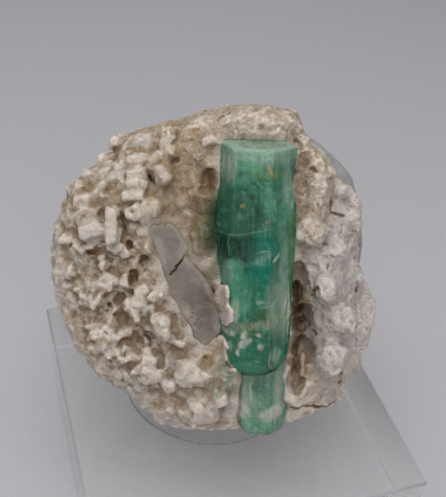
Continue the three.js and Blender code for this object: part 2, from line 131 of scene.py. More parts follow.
def clouds(points, size, seed):
    """Soft value noise from 0 to 1 with features about size across."""
    p = points / size
    cell = np.floor(p).astype(np.int64)
    f = p - cell
    f = f * f * (3 - 2 * f)
    total = np.zeros(len(points))
    for corner in np.ndindex(2, 2, 2):
        step = np.array(corner)
        weight = np.prod(np.where(step == 1, f, 1 - f), axis=1)
        total += weight * lattice(cell + step, seed)
    return total


def rough_clouds(points, size, seed, octaves=3):
    """Clouds with finer clouds on them, from 0 to 1."""
    total, weight, full = 0, 1.0, 0.0
    for i in range(octaves):
        total = total + weight * clouds(points, size / 2**i, seed + 17 * i)
        full += weight
        weight *= 0.55
    return total / full


def cells(points, size, seed):
    """Distance to the nearest scattered seed, over size, and that seed's own number."""
    p = points / size
    cell = np.floor(p).astype(np.int64)
    near = np.full(len(points), 9.0)
    name = np.zeros(len(points))
    for step in np.ndindex(3, 3, 3):
        here = cell + np.array(step) - 1
        jitter = np.stack([lattice(here, seed + k) for k in (1, 2, 3)], axis=1)
        distance = np.linalg.norm(here + jitter - p, axis=1)
        name = np.where(distance < near, lattice(here, seed + 4), name)
        near = np.minimum(near, distance)
    return near, name


def shards(points, size, seed):
    """Steps and leaning flats like packed cleavage blocks about size across, from about -0.5 to 0.5."""
    turn = np.array(Matrix.Rotation(0.9 + seed, 3, Vector((0.3, 0.5, 0.8)).normalized()))
    p = points @ turn / size
    cell = np.floor(p).astype(np.int64)
    near = np.full(len(points), 9.0)
    flat = np.zeros(len(points))
    for step in np.ndindex(3, 3, 3):
        here = cell + np.array(step) - 1
        jitter = np.stack([lattice(here, seed + k) for k in (1, 2, 3)], axis=1)
        away = p - here - jitter
        distance = np.abs(away * (0.8 + 0.5 * jitter[:, ::-1])).max(axis=1)
        tilt = np.stack([lattice(here, seed + k) - 0.5 for k in (5, 6, 7)], axis=1)
        level = 0.8 * (lattice(here, seed + 4) - 0.5) + 1.1 * (tilt * away).sum(axis=1)
        flat = np.where(distance < near, level, flat)
        near = np.minimum(near, distance)
    return flat


def ease(value, low, high):
    """0 below low, 1 above high, smooth between."""
    t = np.clip((value - low) / (high - low), 0, 1)
    return t * t * (3 - 2 * t)


def round_distance(p, u, v, long, wide, turn=0.0):
    """Distance on the face from the middle of a turned ellipse, 1 on its outline."""
    c, s = math.cos(math.radians(turn)), math.sin(math.radians(turn))
    du, dv = p[:, 0] - u, p[:, 1] - v
    return np.hypot((du * c + dv * s) / long, (-du * s + dv * c) / wide)


def patch(p, u, v, long, wide, soft, turn=0.0):
    """1 inside an ellipse on the face, 0 outside, with a soft edge."""
    return 1 - ease(round_distance(p, u, v, long, wide, turn), 1 - soft, 1 + soft)


def faded_spot(p, u, v, long, wide, turn):
    """1 in the middle of an ellipse on the face, fading to 0 past its outline."""
    return 1 - ease(round_distance(p, u, v, long, wide, turn), 0.4, 1.3)


def line_distance(p, points):
    """Distance on the face from a line through some points."""
    nearest = np.full(len(p), 99.0)
    for (u0, v0), (u1, v1) in zip(points[:-1], points[1:]):
        du, dv = u1 - u0, v1 - v0
        along = np.clip(((p[:, 0] - u0) * du + (p[:, 1] - v0) * dv) / (du * du + dv * dv), 0, 1)
        away = np.hypot(p[:, 0] - u0 - along * du, p[:, 1] - v0 - along * dv)
        nearest = np.minimum(nearest, away)
    return nearest


def worn(p, size, reach, seed):
    """Places nudged about by noise, so that nothing drawn on them has a clean outline."""
    return p + reach * np.stack([clouds(p, size, seed + k) - 0.5 for k in range(3)], axis=1)


def mixed(base, other, amount):
    """Colours blended by an amount from 0 to 1."""
    amount = np.clip(amount, 0, 1)[:, None]
    return base * (1 - amount) + np.asarray(other)[..., :3] * amount


def tinted(colour, *layers):
    """Named colours laid over a colour in turn, each by its own amount."""
    for name, amount in layers:
        colour = mixed(colour, colours(name), amount)
    return colour


# ---- Mesh helpers ----
def deselect():
    if bpy.context.object and bpy.context.object.mode != "OBJECT":
        bpy.ops.object.mode_set(mode="OBJECT")
    bpy.ops.object.select_all(action="DESELECT")


def make_active(piece):
    deselect()
    piece.select_set(True)
    bpy.context.view_layer.objects.active = piece


def clear_selection(mesh):
    for part in (*mesh.vertices, *mesh.edges, *mesh.polygons):
        part.select = False


def apply_modifiers(piece):
    make_active(piece)
    for modifier in list(piece.modifiers):
        bpy.ops.object.modifier_apply(modifier=modifier.name)


def settle(piece):
    """Puts the object at the origin with its place in its mesh."""
    make_active(piece)
    bpy.ops.object.transform_apply(location=True, rotation=True, scale=True)


def node_copy(node, name):
    """A welded copy of a CAD node to work on."""
    piece = bpy.data.objects.new(name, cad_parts[node].data.copy())
    bpy.context.scene.collection.objects.link(piece)
    piece.data.materials.clear()
    if "custom_normal" in piece.data.attributes:
        piece.data.attributes.remove(piece.data.attributes["custom_normal"])
    make_active(piece)
    bpy.ops.object.mode_set(mode="EDIT")
    bpy.ops.mesh.select_all(action="SELECT")
    bpy.ops.mesh.remove_doubles(threshold=0.01 * MM)
    bpy.ops.object.mode_set(mode="OBJECT")
    return piece


def remeshed(piece, voxel):
    """Rebuilds the surface as even small faces."""
    remesh = piece.modifiers.new("even_faces", "REMESH")
    remesh.mode = "VOXEL"
    remesh.voxel_size = voxel
    apply_modifiers(piece)


def vertices_of(piece):
    places = np.zeros(len(piece.data.vertices) * 3)
    piece.data.vertices.foreach_get("co", places)
    return places.reshape(-1, 3)


def normals_of(piece):
    normals = np.zeros(len(piece.data.vertices) * 3)
    piece.data.vertices.foreach_get("normal", normals)
    return normals.reshape(-1, 3)


def facing(piece, low, high):
    """0 where a piece's surface turns away from the front, 1 where it faces it."""
    return ease(normals_of(piece) @ FACE_TURN[:, 2], low, high)


def raised(piece, places, relief):
    """Places of a piece moved along its normals, by a relief in face units."""
    return places + normals_of(piece) * relief[:, None] * FACE_UNIT


def set_vertices(piece, places):
    piece.data.vertices.foreach_set("co", places.ravel())
    piece.data.update()


def set_in_box(piece, places):
    """Moves a piece's vertices, but not past the CAD box."""
    set_vertices(piece, np.clip(places, np.array(CAD_BOX[0]), np.array(CAD_BOX[1])))


def edges_of(piece):
    pairs = np.zeros(len(piece.data.edges) * 2, dtype=np.int64)
    piece.data.edges.foreach_get("vertices", pairs)
    return pairs.reshape(-1, 2)


def relaxed(values, pairs, rounds, strength=0.5):
    """Each vertex's values moved towards the mean of its neighbours, again and again."""
    start = np.concatenate([pairs[:, 0], pairs[:, 1]])
    end = np.concatenate([pairs[:, 1], pairs[:, 0]])
    size = len(values)
    count = np.maximum(np.bincount(start, minlength=size), 1)
    values = values.reshape(size, -1)
    for _ in range(rounds):
        columns = [np.bincount(start, weights=column[end], minlength=size) for column in values.T]
        values = values + strength * (np.stack(columns, axis=1) / count[:, None] - values)
    return values


def hollowness(piece, rounds):
    """How far each vertex lies below its smoothed surroundings, in millimetres."""
    places, pairs = vertices_of(piece), edges_of(piece)
    smooth = relaxed(places, pairs, rounds)
    return np.einsum("ij,ij->i", smooth - places, normals_of(piece)) / MM


def paint(piece, name, values):
    """Stores a number or a colour at each vertex."""
    if values.ndim == 1:
        layer = piece.data.attributes.new(name, "FLOAT", "POINT")
        layer.data.foreach_set("value", values.astype(np.float32))
        return
    layer = piece.data.attributes.new(name, "FLOAT_COLOR", "POINT")
    full = np.ones((len(values), 4), np.float32)
    full[:, :3] = values
    layer.data.foreach_set("color", full.ravel())


def tree_of(piece):
    return BVHTree.FromObject(piece, bpy.context.evaluated_depsgraph_get())


def nearest_on(node, places, margin, limit=1.0):
    """For each place in a node's box, grown by a margin: its index, and the node's nearest point."""
    tree = tree_of(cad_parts[node])
    low, high = (np.array(corner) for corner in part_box(node))
    near = np.where(np.all((places > low - margin) & (places < high + margin), axis=1))[0]
    for i in near:
        spot, normal, _, distance = tree.find_nearest(Vector(places[i]), limit)
        if spot is not None:
            yield i, spot, normal, distance


def pressed_against(piece, node, reach, mask):
    """Vertices close to a CAD node are drawn onto it, less and less up to twice the reach."""
    sink = 0.1 * MM
    places = vertices_of(piece)
    for i, spot, normal, distance in nearest_on(node, places, 2 * reach, 2 * reach):
        drawn = mask[i] * min(1.0, 2 - distance / reach)
        places[i] += (np.array(spot - normal * sink) - places[i]) * drawn
    set_vertices(piece, places)


def finished(piece, material):
    """Gives a piece its material and smooth shading."""
    piece.data.materials.clear()
    piece.data.materials.append(material)
    piece.data.shade_smooth()


# ---- Material helpers ----
def new_material(name):
    material = bpy.data.materials.new(name)
    material.use_nodes = True
    tree = material.node_tree
    return material, tree, tree.nodes["Principled BSDF"]


def fill(tree, node, inputs):
    """Links outputs to a node's inputs, or sets those inputs to constants."""
    for name, value in inputs.items():
        if isinstance(value, bpy.types.NodeSocket):
            tree.links.new(value, node.inputs[name])
        else:
            node.inputs[name].default_value = value


def new_node(tree, kind, inputs=None, **settings):
    """A shader node with its settings made and its inputs filled."""
    node = tree.nodes.new("ShaderNode" + kind)
    for name, value in settings.items():
        setattr(node, name, value)
    fill(tree, node, inputs or {})
    return node


def math_node(tree, operation, a, b):
    return new_node(tree, "Math", {0: a, 1: b}, operation=operation).outputs[0]


def mix_node(tree, amount, a, b, blend="MIX"):
    inputs = {0: amount, 6: a, 7: b}
    node = new_node(tree, "Mix", inputs, data_type="RGBA", blend_type=blend, clamp_result=False)
    return node.outputs[2]


def toned(tree, colour, tone):
    """A colour made lighter or darker by a number."""
    grey = new_node(tree, "CombineColor", {0: tone, 1: tone, 2: tone}).outputs[0]
    return mix_node(tree, 1.0, colour, grey, "MULTIPLY")


def ranged(tree, value, low, high, to_low=0.0, to_high=1.0):
    """A number stretched from one range to another."""
    inputs = {"Value": value, "From Min": low, "From Max": high, "To Min": to_low, "To Max": to_high}
    return new_node(tree, "MapRange", inputs).outputs["Result"]


def object_place(tree):
    return new_node(tree, "TexCoord").outputs["Object"]


def face_mapping(tree, stretch=1.0):
    """Object coordinates turned into the face frame, in face units, drawn out along v."""
    inputs = {
        "Vector": object_place(tree),
        "Location": FACE.translation,
        "Rotation": FACE.to_euler("XYZ"),
        "Scale": (FACE_UNIT, FACE_UNIT * stretch, FACE_UNIT),
    }
    return new_node(tree, "Mapping", inputs, vector_type="TEXTURE").outputs["Vector"]


def noise_node(tree, vector, scale, detail, roughness, distortion=0.0):
    inputs = {"Vector": vector, "Scale": scale, "Detail": detail, "Roughness": roughness}
    return new_node(tree, "TexNoise", inputs | {"Distortion": distortion}).outputs["Fac"]


def attribute_node(tree, name, output):
    return new_node(tree, "Attribute", attribute_name=name).outputs[output]


def bump_node(tree, height, strength, distance):
    inputs = {"Height": height, "Strength": strength, "Distance": distance}
    return new_node(tree, "Bump", inputs).outputs["Normal"]


def mottle_group():
    """Clouds, grains and specks in a mineral, from coordinates in face units."""
    name = "mineral_mottle"
    if name in bpy.data.node_groups:
        return bpy.data.node_groups[name]
    tree = bpy.data.node_groups.new(name, "ShaderNodeTree")
    tree.interface.new_socket("Vector", in_out="INPUT", socket_type="NodeSocketVector")
    for label in ("Cloud Scale", "Grain Scale", "Speck Scale"):
        tree.interface.new_socket(label, in_out="INPUT", socket_type="NodeSocketFloat")
    for label in ("Clouds", "Grains", "Specks", "Height"):
        tree.interface.new_socket(label, in_out="OUTPUT", socket_type="NodeSocketFloat")
    given = tree.nodes.new("NodeGroupInput").outputs
    vector, grain_scale = given["Vector"], given["Grain Scale"]
    grains = new_node(tree, "TexVoronoi", {"Vector": vector, "Scale": grain_scale})
    rounded = math_node(tree, "SUBTRACT", 1.0, grains.outputs["Distance"])
    fine = noise_node(tree, vector, grain_scale, 4.0, 0.65)
    specks = noise_node(tree, vector, given["Speck Scale"], 2.0, 0.5)
    results = {
        "Clouds": noise_node(tree, vector, given["Cloud Scale"], 3.0, 0.55),
        "Grains": rounded,
        "Specks": ranged(tree, specks, 0.68, 0.74),
        "Height": math_node(tree, "ADD", math_node(tree, "MULTIPLY", rounded, 0.6), fine),
    }
    fill(tree, tree.nodes.new("NodeGroupOutput"), results)
    return tree


def mottle_node(tree, cloud, grain, speck):
    """The mottle's outputs, for clouds, grains and specks of the scales given."""
    inputs = {"Vector": face_mapping(tree), "Cloud Scale": cloud, "Grain Scale": grain, "Speck Scale": speck}
    return new_node(tree, "Group", node_tree=mottle_group(), inputs=inputs).outputs


# ---- Sizes and colours a user would change ----
def length_property(name, description, default):
    return bpy.props.FloatProperty(
        name=name, description=description, default=default, unit="LENGTH", min=0.0
    )


def colour_property(name, description, default):
    return bpy.props.FloatVectorProperty(
        name=name, description=description, default=default, subtype="COLOR", size=3, min=0, max=1
    )


class SpecimenSizes(bpy.types.PropertyGroup):
    rock_face: length_property("Rock face", "Size of the faces of the rock's surface", 0.00025)
    emerald_face: length_property("Emerald face", "Size of the faces of the emerald's surface", 0.00018)
    block_edge: length_property("Block edge", "Width of the display block's bevelled edges", 0.00045)
    seat_edge: length_property("Seat edge", "Rounding of the seat's rim", 0.0002)
    blades: bpy.props.IntProperty(name="Blades", description="Albite blades in the open parts", default=700)
    small_blades: bpy.props.IntProperty(name="Small blades", description="Small albite blades", default=2000)
    lumps: bpy.props.IntProperty(name="Lumps", description="Rounded lumps of feldspar", default=420)
    grains: bpy.props.IntProperty(name="Grains", description="Sugary grains", default=5000)


class SpecimenColours(bpy.types.PropertyGroup):
    albite: colour_property("Albite", "Clean white feldspar", (0.54, 0.475, 0.415))
    cream: colour_property("Cream", "Iron-tinted feldspar", (0.40, 0.315, 0.22))
    tan: colour_property("Tan", "Stained feldspar", (0.27, 0.178, 0.098))
    ochre: colour_property("Ochre", "Yellow-brown iron stain", (0.36, 0.225, 0.085))
    rust: colour_property("Rust", "Orange-brown iron stain", (0.40, 0.17, 0.05))
    violet: colour_property("Violet white", "Greyish violet-white feldspar", (0.55, 0.50, 0.475))
    shadow: colour_property("Grey violet", "Greyish patches in the feldspar", (0.30, 0.255, 0.235))
    # Crevice brown serves for dirt and specks, and also as painted shade in the rock's hollows, cracks and
    # trough.
    crevice: colour_property("Crevice", "Brown dirt in the hollows", (0.13, 0.07, 0.032))
    quartz: colour_property("Quartz", "Grey quartz in the face", (0.185, 0.155, 0.13))
    brown_quartz: colour_property("Brown quartz", "Darker, brownish quartz", (0.10, 0.073, 0.055))
    smoky: colour_property("Smoky quartz", "Grey quartz behind the rock", (0.31, 0.305, 0.30))
    mint: colour_property("Mint", "Milky pale emerald", (0.235, 0.35, 0.265))
    pale: colour_property("Pale", "Pale translucent emerald", (0.085, 0.27, 0.17))
    green: colour_property("Green", "Body colour of the emerald", (0.022, 0.13, 0.072))
    teal: colour_property("Teal", "Bluest, deepest emerald", (0.006, 0.15, 0.10))
    shade: colour_property("Shade", "Darkest emerald", (0.005, 0.03, 0.018))
    moss: colour_property("Moss", "Dark yellow-green emerald", (0.04, 0.10, 0.03))
    olive: colour_property("Olive", "Yellow-green emerald", (0.11, 0.19, 0.06))
    end: colour_property("End face", "The emerald's dull upper end", (0.20, 0.27, 0.20))
    frosty: colour_property("Frost", "White crust on the emerald", (0.47, 0.465, 0.385))


def sizes():
    return bpy.context.scene.specimen_sizes


def colours(name):
    return np.array(getattr(bpy.context.scene.specimen_colours, name))


# ---- What the rock's face shows, in face units ----
# Hollows: u, v, half length, half width, turn of the length from +u in degrees, depth, and how much brown
# dirt and painted shade darken them.
HOLLOWS = (
    (-7.05, 24.0, 1.9, 0.35, 76, 1.0, 0.7),
    (-7.2, 19.8, 1.2, 0.7, 30, 0.8, 0.75),
    (-14.8, 21.9, 0.7, 0.5, 0, 0.7, 0.35),
    (-18.4, 21.5, 1.0, 0.8, 90, 0.7, 0.35),
    (-20.2, 10.6, 1.4, 0.9, 90, 0.8, 0.35),
    (-11.4, 17.4, 1.8, 0.55, -65, 1.8, 1.0),
    (-23.3, 15.5, 0.45, 0.3, 20, 0.7, 0.7),
    (-23.5, 14.5, 0.4, 0.3, 0, 0.7, 0.7),
    (-22.6, 14.5, 0.35, 0.3, 0, 0.6, 0.6),
    (-14.6, 11.3, 0.4, 0.28, 0, 0.8, 0.8),
    (-15.5, 5.0, 0.95, 0.65, 85, 1.8, 1.0),
    (-26.1, 7.3, 1.6, 0.9, 0, 0.5, 0.3),
    (-26.0, 4.9, 0.6, 0.35, 0, 0.8, 0.8),
    (-22.6, 3.7, 0.9, 0.35, 0, 1.0, 0.8),
    (-1.5, 16.0, 2.4, 1.5, 80, 0.9, 0.8),
    (-1.1, 18.2, 0.8, 0.5, 0, 1.0, 0.9),
    (-2.4, 10.9, 0.55, 0.5, 0, 0.4, 0.5),
    (-1.2, 3.3, 0.55, 0.5, 0, 0.4, 0.5),
    (0.8, 27.4, 0.9, 0.35, 20, 0.4, 0.5),
    (-14.8, -0.7, 1.7, 0.9, 80, 1.43, 1.0),
    (-15.2, -3.7, 0.9, 0.5, 85, 0.91, 0.8),
    (-19.7, -6.3, 0.42, 0.4, 0, 0.65, 0.8),
    (-19.8, -7.5, 0.32, 0.3, 0, 0.52, 0.8),
    (-17.5, -5.3, 1.7, 1.3, 80, 1.04, 0.45),
    (-17.2, -8.6, 2.2, 1.8, 80, 1.43, 0.5),
    (-15.3, -12.6, 2.6, 1.8, -50, 1.3, 0.5),
    (-16.4, -14.5, 0.4, 0.35, 0, 0.52, 1.0),
    (-17.2, -13.2, 0.8, 0.6, 0, 0.52, 0.5),
    (-14.4, -16.0, 0.6, 0.4, 0, 0.33, 0.4),
    (-14.3, -12.8, 0.3, 0.28, 0, 0.39, 1.0),
    (-22.6, -13.0, 0.9, 0.7, 20, 0.59, 0.5),
    (-17.3, -20.3, 0.45, 0.35, 0, 0.45, 0.7),
    (-15.7, -21.0, 0.45, 0.35, 30, 0.45, 0.6),
    (-16.5, -21.6, 0.35, 0.3, 0, 0.39, 0.7),
    (-19.5, -21.0, 0.5, 0.35, -30, 0.39, 0.6),
    (-14.1, -18.4, 0.4, 0.35, 0, 0.39, 0.6),
    (-7.6, -22.5, 0.4, 0.38, 0, 0.5, 0.6),
    (-1.8, -14.9, 0.45, 0.42, 0, 1.0, 1.0),
    (0.7, -17.6, 0.22, 0.2, 0, 0.5, 1.0),
    (0.7, -20.2, 0.32, 0.3, 0, 0.5, 0.8),
    (2.3, -20.3, 0.26, 0.2, 0, 0.4, 0.8),
    (14.0, 23.1, 0.8, 0.35, -10, 0.9, 1.0),
    (17.2, 18.3, 0.75, 0.5, 10, 1.0, 0.9),
    (14.3, 17.6, 0.6, 0.5, 90, 0.9, 0.8),
    (16.3, 13.3, 0.4, 0.35, 0, 0.7, 0.8),
    (15.2, 11.0, 0.25, 0.2, 0, 0.5, 0.9),
    (17.9, 12.2, 0.25, 0.2, 0, 0.5, 0.8),
    (14.6, 9.5, 0.4, 0.3, 0, 0.6, 0.6),
    (14.6, -4.9, 2.9, 0.8, 84, 2.8, 1.0),
    (15.6, -8.0, 1.3, 0.7, 60, 1.2, 0.8),
    (16.0, -10.5, 0.9, 0.6, 40, 1.0, 0.7),
    (15.6, -13.4, 1.3, 0.7, 70, 1.1, 0.9),
    (14.6, -15.2, 0.9, 0.6, 20, 0.9, 0.8),
    (14.4, -18.2, 2.0, 0.7, 80, 1.2, 0.8),
    (13.4, -16.6, 0.8, 0.5, 60, 0.9, 0.7),
    (23.1, -19.2, 0.5, 0.4, 0, 0.9, 0.9),
    (23.0, -21.5, 0.5, 0.4, 30, 0.8, 0.8),
    (22.2, -10.8, 0.4, 0.35, 0, 0.6, 0.6),
    (27.6, -0.8, 0.4, 0.35, 0, 0.6, 0.6),
    (20.7, 2.7, 0.45, 0.3, 0, 0.7, 0.7),
    (20.0, 1.0, 0.4, 0.3, 20, 0.7, 0.6),
    (12.7, -25.0, 0.9, 0.5, 90, 0.8, 0.8),
)
# Cracks: half width, depth, and the points they run through.
CRACKS = (
    (0.14, 0.8, ((-17.1, 11.9), (-15.9, 11.9))),
    (0.22, 1.2, ((-17.1, 10.2), (-16.6, 9.2), (-16.7, 8.6), (-16.3, 7.4))),
    (0.17, 0.9, ((-25.1, 8.6), (-24.2, 7.8), (-24.8, 6.4))),
    (0.15, 0.8, ((-24.35, 5.3), (-22.85, 5.3))),
    (0.14, 0.4, ((-7.3, 11.0), (-7.3, 9.2))),
    (0.14, 0.4, ((-2.3, 30.0), (-2.3, 28.0))),
    (0.12, 0.3, ((-0.6, 26.5), (2.6, 28.2))),
    (0.27, 1.3, ((-14.2, -9.8), (-13.1, -10.8), (-12.1, -11.0))),
    (0.27, 1.2, ((-13.2, -11.6), (-12.1, -12.6), (-12.2, -13.2))),
    (0.12, 0.4, ((-20.1, -10.4), (-18.1, -11.8))),
    (0.3, 1.2, ((20.4, 12.5), (20.9, 11.0), (21.3, 10.2), (23.4, 9.3))),
    (0.25, 0.9, ((18.5, 5.6), (20.0, 4.9))),
    (0.3, 1.0, ((17.7, -2.0), (17.0, -4.4))),
    (0.2, 0.7, ((16.2, -9.3), (18.3, -12.1))),
    (0.3, 0.9, ((13.6, -25.4), (15.2, -25.4), (20.5, -26.4), (22.2, -25.3))),
    (0.13, 0.4, ((26.2, -3.0), (26.2, -5.0))),
)
# Stains, and painted shade beside the emerald: u, v, half length, half width, turn, colour, strength.
STAINS_AND_SHADE = (
    (-27.8, 11.5, 0.5, 0.4, 0, "rust", 0.8),
    (-21.8, 3.8, 0.7, 0.6, 90, "rust", 0.7),
    (-11.4, 13.7, 1.8, 0.5, 90, "ochre", 0.7),
    (-10.9, 23.0, 0.4, 0.3, 0, "crevice", 0.5),
    (-9.9, 23.2, 0.3, 0.3, 0, "crevice", 0.5),
    (-4.2, 24.8, 0.9, 0.6, 20, "ochre", 0.6),
    (-0.6, 23.2, 0.6, 0.5, 0, "ochre", 0.6),
    (-12.5, 23.4, 1.4, 1.1, 0, "violet", 0.7),
    (-21.9, 7.7, 2.2, 2.2, 0, "violet", 0.8),
    (-17.0, 0.2, 1.2, 0.9, 90, "tan", 0.6),
    (-12.8, -1.4, 0.7, 0.5, 0, "tan", 0.7),
    (-21.0, -3.0, 0.9, 0.5, 10, "ochre", 0.5),
    (-25.7, -2.8, 0.6, 0.5, 0, "ochre", 0.5),
    (-25.7, -4.8, 0.6, 0.5, 0, "ochre", 0.5),
    (-25.0, -8.4, 0.7, 0.5, 0, "ochre", 0.5),
    (-10.4, -8.4, 0.6, 0.5, 0, "ochre", 0.5),
    (-10.0, -4.5, 0.6, 0.4, 0, "ochre", 0.5),
    (-14.4, -16.0, 0.8, 0.5, 0, "ochre", 0.5),
    (-3.9, -20.0, 1.2, 0.35, 90, "ochre", 0.55),
    (-2.5, -17.5, 0.6, 0.4, 0, "ochre", 0.5),
    (0.3, -16.3, 0.6, 0.4, 0, "ochre", 0.6),
    (-1.8, -14.9, 0.9, 0.8, 0, "ochre", 0.7),
    (-7.6, -22.5, 0.8, 0.6, 0, "rust", 0.5),
    (-8.3, -16.0, 2.4, 1.8, 0, "shadow", 0.45),
    (-1.0, -25.2, 1.6, 1.0, 0, "shadow", 0.5),
    (2.0, -24.3, 1.4, 0.9, 0, "shadow", 0.5),
    (14.3, 13.5, 2.8, 0.8, 90, "tan", 0.6),
    (18.3, 14.1, 0.5, 0.4, 0, "ochre", 0.6),
    (17.9, 8.4, 0.5, 0.4, 0, "ochre", 0.6),
    (17.4, 11.1, 0.5, 0.4, 0, "ochre", 0.7),
    (15.9, 7.3, 1.3, 0.4, -38, "ochre", 0.6),
    (24.8, 7.4, 0.5, 0.5, 0, "ochre", 0.5),
    (23.8, 5.4, 0.5, 0.5, 0, "ochre", 0.5),
    (23.0, 3.8, 0.5, 0.4, 0, "ochre", 0.5),
    (24.9, 3.2, 0.4, 0.4, 0, "ochre", 0.5),
    (23.1, -20.3, 1.0, 0.5, 90, "ochre", 0.5),
    (12.7, -25.0, 1.2, 0.8, 90, "green", 0.5),
    (3.5, -10.2, 2.0, 1.6, 0, "frosty", 0.5),
    # Along the emerald's left edge and in the hollow above it: brown and green stain, deepened by painted
    # shade.
    (-2.4, 10.5, 6.8, 2.2, 90, "tan", 0.9),
    (-2.2, 9.5, 6.0, 1.6, 90, "crevice", 0.25),
    (-2.0, 8.8, 4.6, 1.7, 88, "moss", 0.5),
    (-0.4, 9.6, 6.2, 1.3, 90, "moss", 0.75),
    (-0.2, 9.0, 4.6, 0.9, 90, "shade", 0.4),
    (-0.6, 6.2, 2.6, 1.5, 90, "shade", 0.55),
    (-1.8, 16.2, 2.6, 2.0, 80, "tan", 0.8),
    (-0.8, 16.6, 1.6, 1.0, 80, "crevice", 0.5),
    # The trough along the emerald's right side: painted shadow, in tan, crevice brown and the emerald's
    # shade colour.
    (15.6, -9.5, 7.0, 1.5, 88, "tan", 0.8),
    (15.4, -8.0, 5.5, 1.0, 88, "crevice", 0.55),
    (14.8, -16.0, 4.0, 1.3, 85, "tan", 0.7),
    (14.4, -4.6, 2.6, 0.9, 88, "shade", 0.6),
    (15.0, -12.5, 5.0, 1.2, 88, "crevice", 0.5),
    (15.4, -17.6, 3.6, 1.7, 80, "tan", 0.75),
    (15.2, -17.2, 3.0, 1.1, 80, "crevice", 0.45),
    (-0.6, 0.8, 3.0, 1.6, 80, "tan", 0.7),
    (-0.2, 1.2, 2.6, 1.0, 80, "moss", 0.6),
    (-1.2, -4.4, 2.6, 1.2, 65, "tan", 0.7),
    (-10.0, 20.6, 3.0, 2.2, 0, "tan", 0.4),
    (-19.8, 11.5, 2.6, 2.4, 0, "tan", 0.4),
    (-24.8, 8.6, 2.0, 1.6, 0, "tan", 0.4),
    (-14.8, -8.8, 2.8, 2.4, 0, "tan", 0.6),
    (-7.4, -14.2, 4.0, 2.0, -20, "tan", 0.3),
)
# Albite crystals: u, v, half length, half width, turn, lean out of the face, whiteness.
CRYSTALS = (
    (-13.8, 20.3, 2.2, 0.8, 8, 6, 0.9),
    (-9.2, 17.7, 1.8, 1.2, -58, 10, 0.5),
    (-13.9, 17.4, 1.9, 1.5, 12, -5, 0.4),
    (-14.5, 13.9, 2.0, 1.2, 4, 5, 0.4),
    (-17.4, 18.2, 1.9, 0.5, 62, 10, 1.0),
    (-17.0, 17.4, 1.8, 0.5, 118, 5, 1.0),
    (-16.8, 17.8, 1.7, 0.45, 5, 8, 1.0),
    (-19.9, 18.1, 1.1, 0.4, 15, 0, 0.9),
    (-24.1, 12.7, 1.6, 1.3, 10, 5, 0.3),
    (-18.2, 8.6, 3.3, 1.3, 88, -4, 1.0),
    (-17.8, 4.8, 1.5, 0.7, 6, 5, 0.2),
    (-27.0, 5.6, 1.5, 0.7, 0, 8, 0.5),
    (-23.9, 4.8, 1.2, 0.6, -4, 0, 0.1),
    (-21.0, 5.0, 1.6, 0.4, 3, 10, 0.9),
    (-21.9, 7.8, 2.0, 1.8, 20, 0, 0.5),
    (-9.3, 23.2, 2.6, 0.45, 84, 4, 0.8),
    (-8.4, 23.0, 2.8, 0.4, 86, 0, 0.9),
    (-7.6, 22.6, 1.8, 0.35, 80, 4, 0.8),
    (-1.2, 23.4, 1.3, 0.9, 15, 5, 0.6),
    (-12.5, 23.4, 1.3, 1.0, 30, 0, 0.3),
    (-21.0, 14.5, 2.2, 0.9, 52, 8, 0.4),
    (-22.6, 11.0, 1.7, 0.7, -20, 5, 0.3),
    (-11.9, 10.4, 1.8, 1.0, 70, 0, 0.5),
    (-12.6, 7.6, 1.6, 0.8, 20, 8, 0.7),
    (-10.5, 20.6, 1.4, 0.8, 40, 6, 0.6),
    (-24.8, 10.2, 1.4, 0.6, 35, 8, 0.3),
    (-16.5, -11.0, 1.3, 0.8, 20, 10, 1.0),
    (-13.3, -3.1, 1.3, 1.0, 35, 6, 1.0),
    (-19.0, -1.2, 1.7, 0.7, -30, 8, 0.8),
    (-21.5, -5.2, 1.5, 0.7, 55, 5, 0.7),
    (-14.4, -7.4, 1.6, 0.7, -70, 12, 0.8),
    (-18.8, -14.8, 1.5, 0.8, 25, 6, 0.7),
    (-12.0, -15.4, 1.5, 0.8, -15, 5, 0.6),
    (-22.5, -10.2, 1.6, 0.6, 10, 8, 0.7),
    (-12.2, -6.2, 1.2, 0.6, 15, 6, 0.8),
    (15.7, -17.4, 2.5, 0.55, 86, 0, 0.4),
)
# The pieces grown into the rock, and within how many millimetres the rock is drawn onto them.
GROWN_IN = (("emerald_crystal", 0.7), ("emerald_stub", 0.7), ("face_quartz", 0.5), ("back_quartz", 0.5))
# Knobs of rock: u, v, w, half length, half width, half thickness, turn.
KNOBS = (
    (3.0, 24.8, 1.0, 2.2, 0.9, 1.0, 8),
    (6.4, 24.9, 1.5, 2.6, 0.9, 1.0, -3),
    (9.4, 24.8, 1.4, 2.4, 0.9, 0.9, 4),
    (11.2, 24.3, 0.8, 1.3, 0.8, 0.9, -8),
    (22.2, 14.2, -5.6, 2.4, 1.7, 2.2, -40),
    (24.0, 13.4, -6.6, 2.2, 1.5, 2.2, -35),
    (25.4, 11.6, -6.4, 2.2, 1.5, 2.0, -60),
)
# Where a crust of rock laps over the emerald's left edge: u, v, half length, half width, turn.
LAPS = (
    (0.9, -3.6, 2.6, 1.1, 72),
    (1.6, -6.3, 1.9, 1.3, 90),
    (0.2, -9.2, 1.2, 0.5, 90),
    (1.1, -12.2, 1.3, 1.0, 90),
    (1.0, -14.7, 1.3, 0.9, 70),
    (2.4, -17.0, 1.5, 0.7, 35),
    (2.6, -25.2, 2.4, 0.9, 80),
)


def front_of(p):
    """1 on the rock's face, 0 down its sides and at its back."""
    return ease(p[:, 2], -12, -7)


